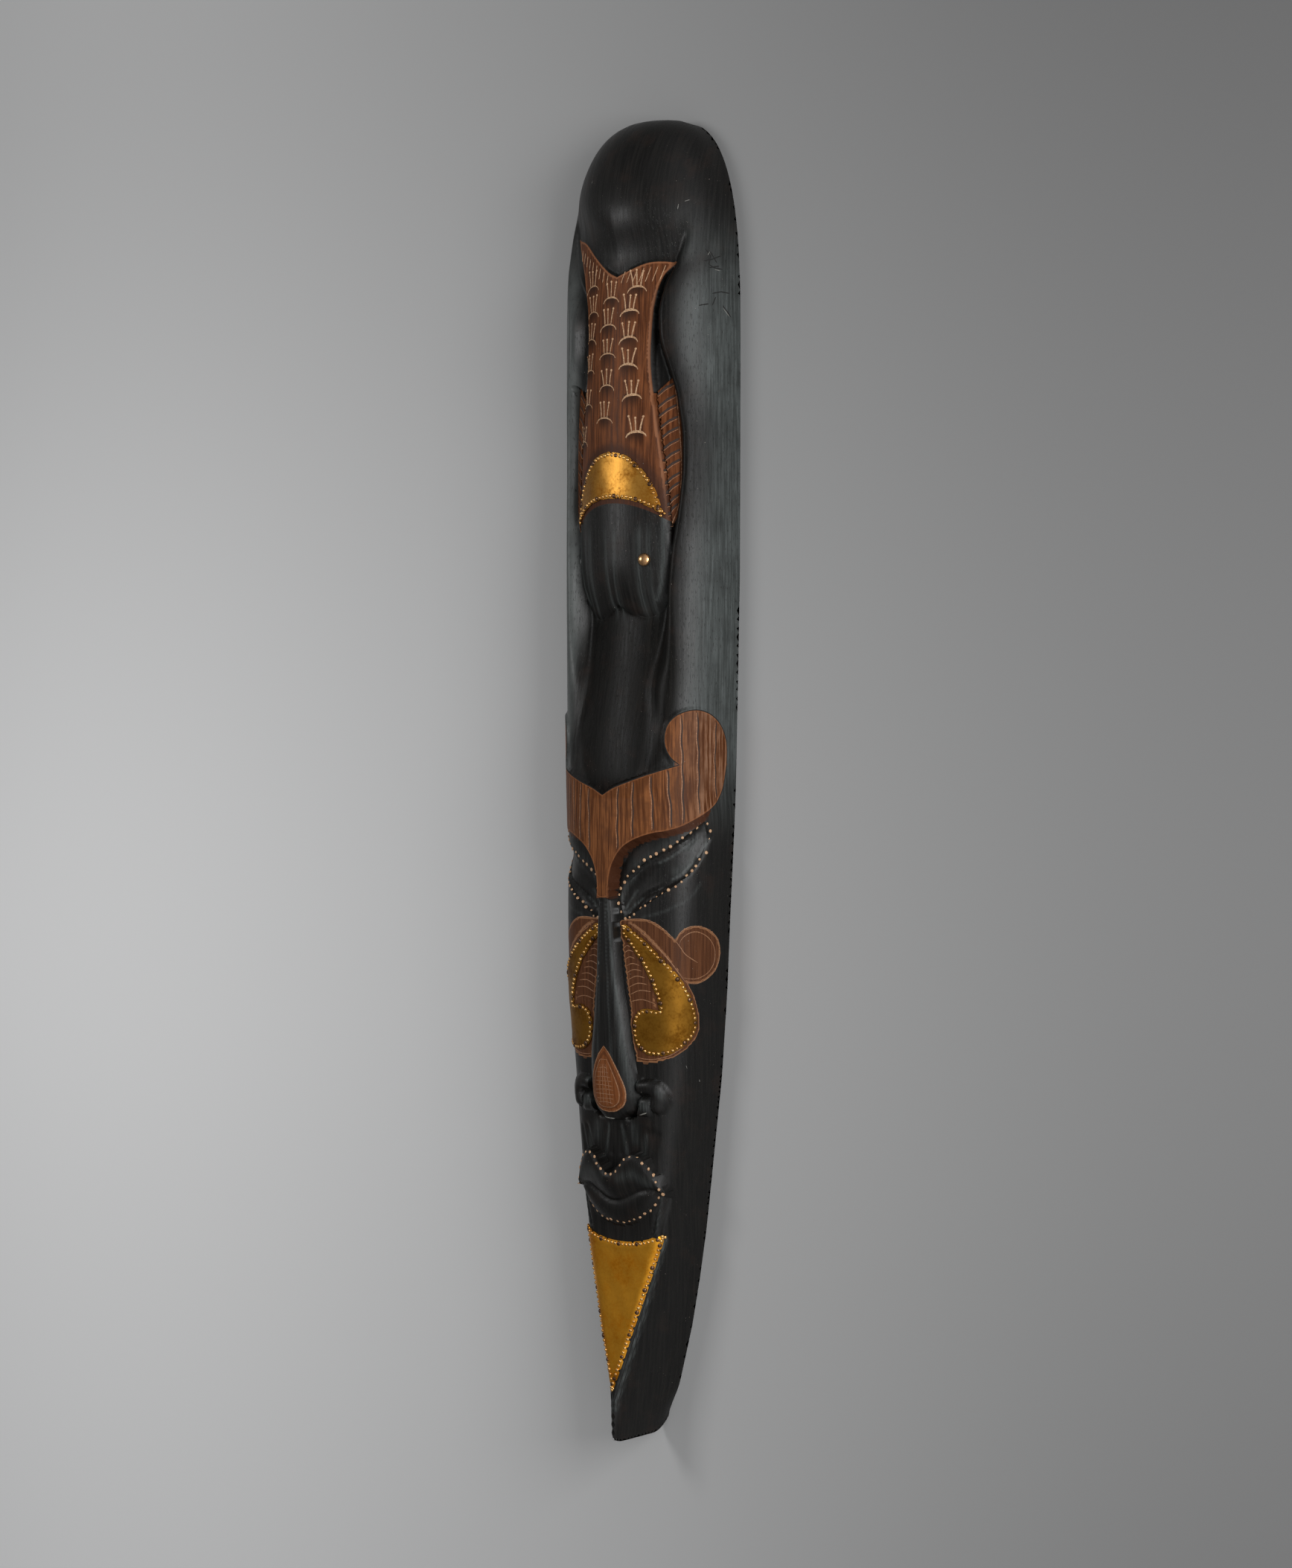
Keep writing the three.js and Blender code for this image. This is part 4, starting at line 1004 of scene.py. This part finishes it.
# The crown is scored lengthwise, as if made of planks: at each place measured, a dark ribbon of painted
# shade stands for the groove, with a painted highlight on its left for the edge that catches the light. The
# fins' cuts and outer edges have the same painted highlight.
plank_groove_shade, plank_highlights = [], []
for at in (-91.5, -76.6, -64.4, -54.4, -41.5, -33, -23.5, -13.4, 14.5, 27, 41.4, 54.5, 64.4, 76.6, 91.5):
    ys = np.arange(-70, 50, 1.0)
    wave = at + 0.5 * np.sin(ys * 0.09 + at) + 0.3 * np.sin(ys * 0.31 + 2 * at)
    inside = distance(crown, wave, ys, 6) > 0.9
    if at in (-23.5, -33):
        inside &= ys < 40
    runs = np.split(np.where(inside)[0], np.where(np.diff(np.where(inside)[0]) > 1)[0] + 1)
    run = max(runs, key=len)
    path = np.stack([wave[run], ys[run]], -1)
    plank_groove_shade.append(path)
    plank_highlights.append(path - (1.15, 0))
strokes("plank_grooves", plank_groove_shade, [1.4] * len(plank_groove_shade), cut_shade_paint, rise=0.05, swell=12.0)
edge_highlight_paint = dab_material("painted edge highlights", (0.40, 0.19, 0.085, 1), (0.21, 0.085, 0.036, 1), 0.5)
strokes("plank_edge_highlights", plank_highlights, [1.0] * len(plank_highlights), edge_highlight_paint, rise=0.05, swell=12.0)
fin_highlights = [cut - (0, 1.6) for cut in fin_cuts]
for sign in (1, -1):
    fin_highlights.append(on_girth([(sign * (x - 0.9), y) for x, y in fin_xy[1:24]]))
strokes("fin_edge_highlights", fin_highlights, [0.6] * len(fin_cuts) + [1.1] * 2, edge_highlight_paint, rise=0.06, swell=12.0)


# Dots of paint, beads pressed in the metal and nail heads: one Geometry Nodes tree puts a flattened
# ball on each point of a guide mesh, turned to face outwards and sized by the point's own factor.
def bead_tree():
    tree = bpy.data.node_groups.new("Beads on points", "GeometryNodeTree")
    for name, kind in (("Geometry", "NodeSocketGeometry"), ("Radius", "NodeSocketFloat"),
                       ("Flatness", "NodeSocketFloat"), ("Material", "NodeSocketMaterial")):
        tree.interface.new_socket(name=name, in_out="INPUT", socket_type=kind)
    tree.interface.new_socket(name="Geometry", in_out="OUTPUT", socket_type="NodeSocketGeometry")
    t = Nodes(tree)
    start, end = t.add("NodeGroupInput"), t.add("NodeGroupOutput")
    ball = t.add("GeometryNodeMeshUVSphere", {}, Segments=14, Rings=8)
    t.put(ball, "Radius", start.outputs["Radius"])
    squash = t.add("ShaderNodeCombineXYZ", {}, X=1.0, Y=1.0)
    t.put(squash, "Z", start.outputs["Flatness"])
    flat_ball = t.add("GeometryNodeTransform")
    t.put(flat_ball, "Geometry", ball.outputs[0])
    t.put(flat_ball, "Scale", squash.outputs[0])
    facing = t.add("GeometryNodeInputNamedAttribute", {"data_type": "FLOAT_VECTOR"}, Name="facing")
    turn_to = t.add("FunctionNodeAlignRotationToVector", {"axis": "Z"})
    t.put(turn_to, "Vector", facing.outputs[0])
    size = t.add("GeometryNodeInputNamedAttribute", {"data_type": "FLOAT"}, Name="size")
    to_points = t.add("GeometryNodeMeshToPoints")
    t.put(to_points, "Mesh", start.outputs["Geometry"])
    place_all = t.add("GeometryNodeInstanceOnPoints")
    t.put(place_all, "Points", to_points.outputs[0])
    t.put(place_all, "Instance", flat_ball.outputs[0])
    t.put(place_all, "Rotation", turn_to.outputs[0])
    t.put(place_all, "Scale", size.outputs[0])
    real = t.add("GeometryNodeRealizeInstances")
    t.put(real, "Geometry", place_all.outputs[0])
    shade = t.add("GeometryNodeSetShadeSmooth")
    t.put(shade, "Geometry", real.outputs[0])
    dress = t.add("GeometryNodeSetMaterial")
    t.put(dress, "Geometry", shade.outputs[0])
    t.put(dress, "Material", start.outputs["Material"])
    t.put(end, "Geometry", dress.outputs[0])
    return tree


beads = bead_tree()


def bead_piece(name, points_mm, facing, sizes, radius_mm, flatness, paint_material):
    guide = bpy.data.meshes.new(name + "_guide")
    guide.from_pydata((np.asarray(points_mm) / 1000).tolist(), [], [])
    obj = bpy.data.objects.new(name, guide)
    scene.collection.objects.link(obj)
    attribute(obj, "facing", facing)
    attribute(obj, "size", sizes)
    modifier = obj.modifiers.new("beads", "NODES")
    modifier.node_group = beads
    for item in beads.interface.items_tree:
        if item.in_out == "INPUT" and item.name != "Geometry":
            modifier[item.identifier] = {"Radius": radius_mm / 1000, "Flatness": flatness,
                                         "Material": paint_material}[item.name]
    shown = obj.evaluated_get(bpy.context.evaluated_depsgraph_get())
    baked = bpy.data.meshes.new_from_object(shown)
    obj.modifiers.clear()
    obj.data = baked
    bpy.data.meshes.remove(guide)
    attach(obj, "root")


# Cream dots, dabbed on by hand round each leaf eye, along both lips, and at the tips of the stalks on
# the fish. They are slightly raised, uneven in size and not quite in line.
dot_paint = dab_material("cream dots", (0.62, 0.40, 0.23, 1), (0.42, 0.23, 0.12, 1), 0.5)


def dab_row(outline, pitch, jitter=0.45):
    q = even(outline, pitch, closed=False)
    return q + rng.normal(0, jitter, q.shape)


leaf_line = spline([(13.5, -105.8), (9.6, -100), (8.1, -92), (9.2, -84.6), (15.5, -75.5), (24.2, -67.8),
                    (33, -61.8), (42.5, -56.2), (51, -51), (57.8, -45.5), (63.5, -39)], 50)
leaf_low = spline([(66.9, -35.5), (67.3, -44), (66.2, -55), (63.4, -65.8), (59.5, -74), (54, -80.8),
                   (46, -86), (36.5, -92.6), (27, -98.6), (17.6, -105)], 50)
dots, dot_sizes = [], []
for sign in (1, -1):
    for curve, gap in ((leaf_line, 6.0), (leaf_low, 5.7)):
        q = dab_row(on_girth(curve), gap)
        dots += [(sign * s, y) for s, y in q]
        dot_sizes += list(rng.uniform(0.75, 1.25, len(q)))
upper_edge = on_girth([(x, float(lip_top(np.array(x))) - 0.5) for x in np.linspace(-42.6, 42.6, 90)])
lower_edge = on_girth([(x, float(lip_bottom(np.array(x))) + 0.4) for x in np.linspace(-35.6, 35.6, 70)])
for curve in (upper_edge, lower_edge):
    q = dab_row(curve, 5.6)
    dots += [tuple(p) for p in q]
    dot_sizes += list(rng.uniform(0.8, 1.25, len(q)))
dots += tips
dot_sizes += [0.82] * len(tips)
dots = np.array(dots)
dot_at, dot_up = skin(dots[:, 0], dots[:, 1]), normals(dots[:, 0], dots[:, 1], 1.0)
bead_piece("paint_dots", dot_at + dot_up * 0.05, dot_up, dot_sizes, 1.15, 0.36, dot_paint)


# Tarnish, shared by the sheets, their beads, the nails and the eye: brown bloom in patches, with duller
# metal there.
tarnish = bpy.data.node_groups.new("Tarnish", "ShaderNodeTree")
tarnish.interface.new_socket(name="Place", in_out="INPUT", socket_type="NodeSocketVector")
tarnish.interface.new_socket(name="Amount", in_out="OUTPUT", socket_type="NodeSocketFloat")
g = Nodes(tarnish)
g_in, g_out = g.add("NodeGroupInput"), g.add("NodeGroupOutput")
wide_patch = g.noise(g_in.outputs[0], 0.05, 5.0, 0.6)
small_patch = g.noise(g_in.outputs[0], 0.5, 3.0, 0.6)
both = g.math("ADD", g.math("MULTIPLY", wide_patch, 0.65), g.math("MULTIPLY", small_patch, 0.35))
tarnish.links.new(g.ramp(both, 0.42, 0.66), g_out.inputs[0])


def brass_material(name, clean, bloom, rough_low, rough_high):
    made, n, shader = material(name)
    geo = n.add("ShaderNodeNewGeometry")
    scaled = n.add("ShaderNodeVectorMath", {"operation": "SCALE"})
    n.put(scaled, 0, geo.outputs[0])
    scaled.inputs[3].default_value = 1000.0
    patch = n.add("ShaderNodeGroup", {"node_tree": tarnish})
    n.put(patch, 0, scaled.outputs[0])
    brushed = n.noise(scaled.outputs[0], 1.2, 3.0, 0.6, (1.0, 0.08, 1.0))
    tone = n.mix(patch.outputs[0], clean, bloom)
    n.put(shader, "Base Color", tone)
    n.put(shader, "Metallic", 1.0)
    n.put(shader, "Roughness", n.math("ADD", n.ramp(patch.outputs[0], 0.0, 1.0, rough_low, rough_high),
                                      n.math("MULTIPLY", brushed, 0.08)))
    dents = n.noise(scaled.outputs[0], 0.09, 3.0, 0.5)
    height = n.math("ADD", n.math("MULTIPLY", brushed, 0.12), n.math("MULTIPLY", dents, 1.0))
    bump = n.add("ShaderNodeBump", Strength=0.5, Distance=0.0004, Height=height)
    n.put(shader, "Normal", bump.outputs[0])
    return made


# The metal sheets: thin brass, cut to shape, that follows the wood under it. Each has a rounded rim and
# a slightly uneven face. The cheeks' are the dullest and the chin's the brightest.
GAP = 0.3  # air between a sheet and the wood
SHEET = 0.8  # thickness of a sheet
SHEET_PITCH = 2.0
brass = brass_material("sheet brass", (0.45, 0.22, 0.040, 1), (0.25, 0.095, 0.010, 1), 0.36, 0.47)
dull_brass = brass_material("dull sheet brass", (0.26, 0.122, 0.016, 1), (0.14, 0.055, 0.005, 1),
                            0.48, 0.58)
warm_brass = brass_material("warm sheet brass", (0.90, 0.41, 0.036, 1), (0.54, 0.20, 0.009, 1), 0.34, 0.46)


def sheet_piece(name, node, outline, metal):
    loop = even(outline, 1.5)
    inset = even(ring(loop, -0.5), 1.5)
    grid = hexes(loop.min(0), loop.max(0), SHEET_PITCH)
    grid = grid[distance(inset, grid[:, 0], grid[:, 1], 40) > 0.9]
    flat_pts, tris = triangulate(loop, [inset], grid, 0.9)
    d = distance(loop, flat_pts[:, 0], flat_pts[:, 1], 40)
    s, y = flat_pts[:, 0], flat_pts[:, 1]
    up = normals(s, y, 1.2)
    # Height over the wood: less at the rim, with a shallow ridge inside it and slow waves.
    wave = 0.22 * np.sin(s * 0.33 + 1.3) * np.sin(y * 0.21) * smooth(2, 8, d)
    lift = GAP + SHEET - 0.25 * (1 - smooth(0, 0.6, d)) + 0.18 * np.exp(-((d - 4.4) / 1.2) ** 2) + wave * 0.5
    top = skin(s, y) + up * np.clip(lift, 0.75, 1.5)[:, None]
    low = skin(s, y) + up * GAP
    count = len(flat_pts)
    faces = list(tris) + [tuple(i + count for i in reversed(f)) for f in tris]
    seen = {}
    for f in tris:
        for a, b in zip(f, f[1:] + f[:1]):
            seen[(a, b)] = seen.get((b, a), 0) + 1
    for (a, b) in [e for e in seen if (e[1], e[0]) not in seen]:
        faces.append((b, a, a + count, b + count))
    obj = mesh_object(name, np.vstack([top, low]), faces, metal, sharp=50)
    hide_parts(node)


sheet_piece("band_sheet", "fish_band", band, brass)
sheet_piece("cheek_sheet_right", "cheek_plate_right", cheek_plate, dull_brass)
sheet_piece("cheek_sheet_left", "cheek_plate_left", left(cheek_plate), dull_brass)
sheet_piece("chin_sheet", "chin_plate", chin_plate, warm_brass)


# Round each sheet's edge: a row of small beads pressed into the metal, in a brighter, smoother brass
# than most of the sheets as a painted highlight, where every fifth place has the dark head of a nail that
# holds the sheet to the wood.
bead_highlight_metal = brass_material("embossed beads, highlit", (0.78, 0.47, 0.17, 1), (0.50, 0.25, 0.07, 1), 0.20, 0.34)
nail_metal = brass_material("nail heads", (0.17, 0.095, 0.055, 1), (0.055, 0.030, 0.018, 1), 0.25, 0.40)


def trim(name, outline, nail_every=5, pitch=3.6, inset=2.5):
    line = even(ring(even(outline, 1.0), -inset), pitch)
    up = normals(line[:, 0], line[:, 1], 1.2)
    at = skin(line[:, 0], line[:, 1]) + up * (GAP + SHEET)
    nail = (np.arange(len(line)) % nail_every) == nail_every // 2
    sizes = rng.uniform(0.8, 1.1, len(line))
    bead_piece(name + "_beads", at[~nail], up[~nail], sizes[~nail], 1.3, 0.75, bead_highlight_metal)
    bead_piece(name + "_nails", at[nail] + up[nail] * 0.1, up[nail], sizes[nail], 1.75, 0.5, nail_metal)


trim("band", band)
trim("cheek_right", cheek_plate)
trim("cheek_left", left(cheek_plate))
trim("chin", chin_plate)


# The fish's eye: a large domed nail of polished metal, knocked into the right side of its black head.
# It keeps the CAD solid's shape.
eye_metal = brass_material("eye domes", (0.66, 0.39, 0.19, 1), (0.44, 0.23, 0.10, 1), 0.16, 0.28)
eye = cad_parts["fish_eye_right"]
eye.data.materials.clear()
eye.data.materials.append(eye_metal)
eye.data.shade_smooth()
eye.data.set_sharp_from_angle(angle=math.radians(40))


# The floor and the light: a pale floor, brighter to the left as in the photograph, one large soft lamp
# overhead to the left, a low soft lamp on the right, and a sky that is brighter on the right.
floor_paint, n, shader = material("floor")
where = n.add("ShaderNodeTexCoord")
split = n.add("ShaderNodeSeparateXYZ")
n.put(split, 0, where.outputs["Object"])
# The floor's colour is painted light: brighter to the left and darker towards the top.
floor_falloff_paint = n.mix(n.ramp(split.outputs[0], -0.9, 0.75), (0.90, 0.90, 0.90, 1), (0.215, 0.215, 0.215, 1))
shade = n.ramp(split.outputs[1], -0.3, 0.7, 0.0, 0.42)
n.put(shader, "Base Color", n.mix(shade, floor_falloff_paint, (0.0, 0.0, 0.0, 1)))
n.put(shader, "Specular IOR Level", 0.1)
n.put(shader, "Roughness", 0.9)
floor_mesh = bpy.data.meshes.new("floor")
reach = 4.0
floor_mesh.from_pydata([(-reach, -reach, 0), (reach, -reach, 0), (reach, reach, 0), (-reach, reach, 0)],
                       [], [(0, 1, 2, 3)])
floor_mesh.materials.append(floor_paint)
floor = bpy.data.objects.new("floor", floor_mesh)
scene.collection.objects.link(floor)


def area_light(name, place, target, size, power):
    data = bpy.data.lights.new(name, "AREA")
    data.shape = "RECTANGLE"
    data.size, data.size_y = size
    data.energy = power
    lamp = bpy.data.objects.new(name, data)
    lamp.location = place
    lamp.rotation_euler = (Vector(target) - Vector(place)).to_track_quat("-Z", "Y").to_euler()
    scene.collection.objects.link(lamp)


area_light("key", (-0.75, 0.5, 1.5), (0, 0.15, 0.05), (0.5, 0.6), 7.5)
area_light("side", (1.5, 0.25, 0.75), (0, 0.1, 0.04), (0.8, 0.6), 15)
world = bpy.data.worlds.new("studio")
world.use_nodes = True
n = Nodes(world.node_tree)
way = n.add("ShaderNodeTexCoord")
split = n.add("ShaderNodeSeparateXYZ")
n.put(split, 0, way.outputs["Generated"])
sky = world.node_tree.nodes["Background"]
glow = n.mix(n.ramp(split.outputs[0], -0.2, 0.9), (0.15, 0.15, 0.15, 1), (0.72, 0.73, 0.74, 1))
n.put(sky, "Color", glow)
n.put(sky, "Strength", 1.0)
scene.world = world
scene.view_settings.view_transform = "Standard"
scene.view_settings.look = "None"
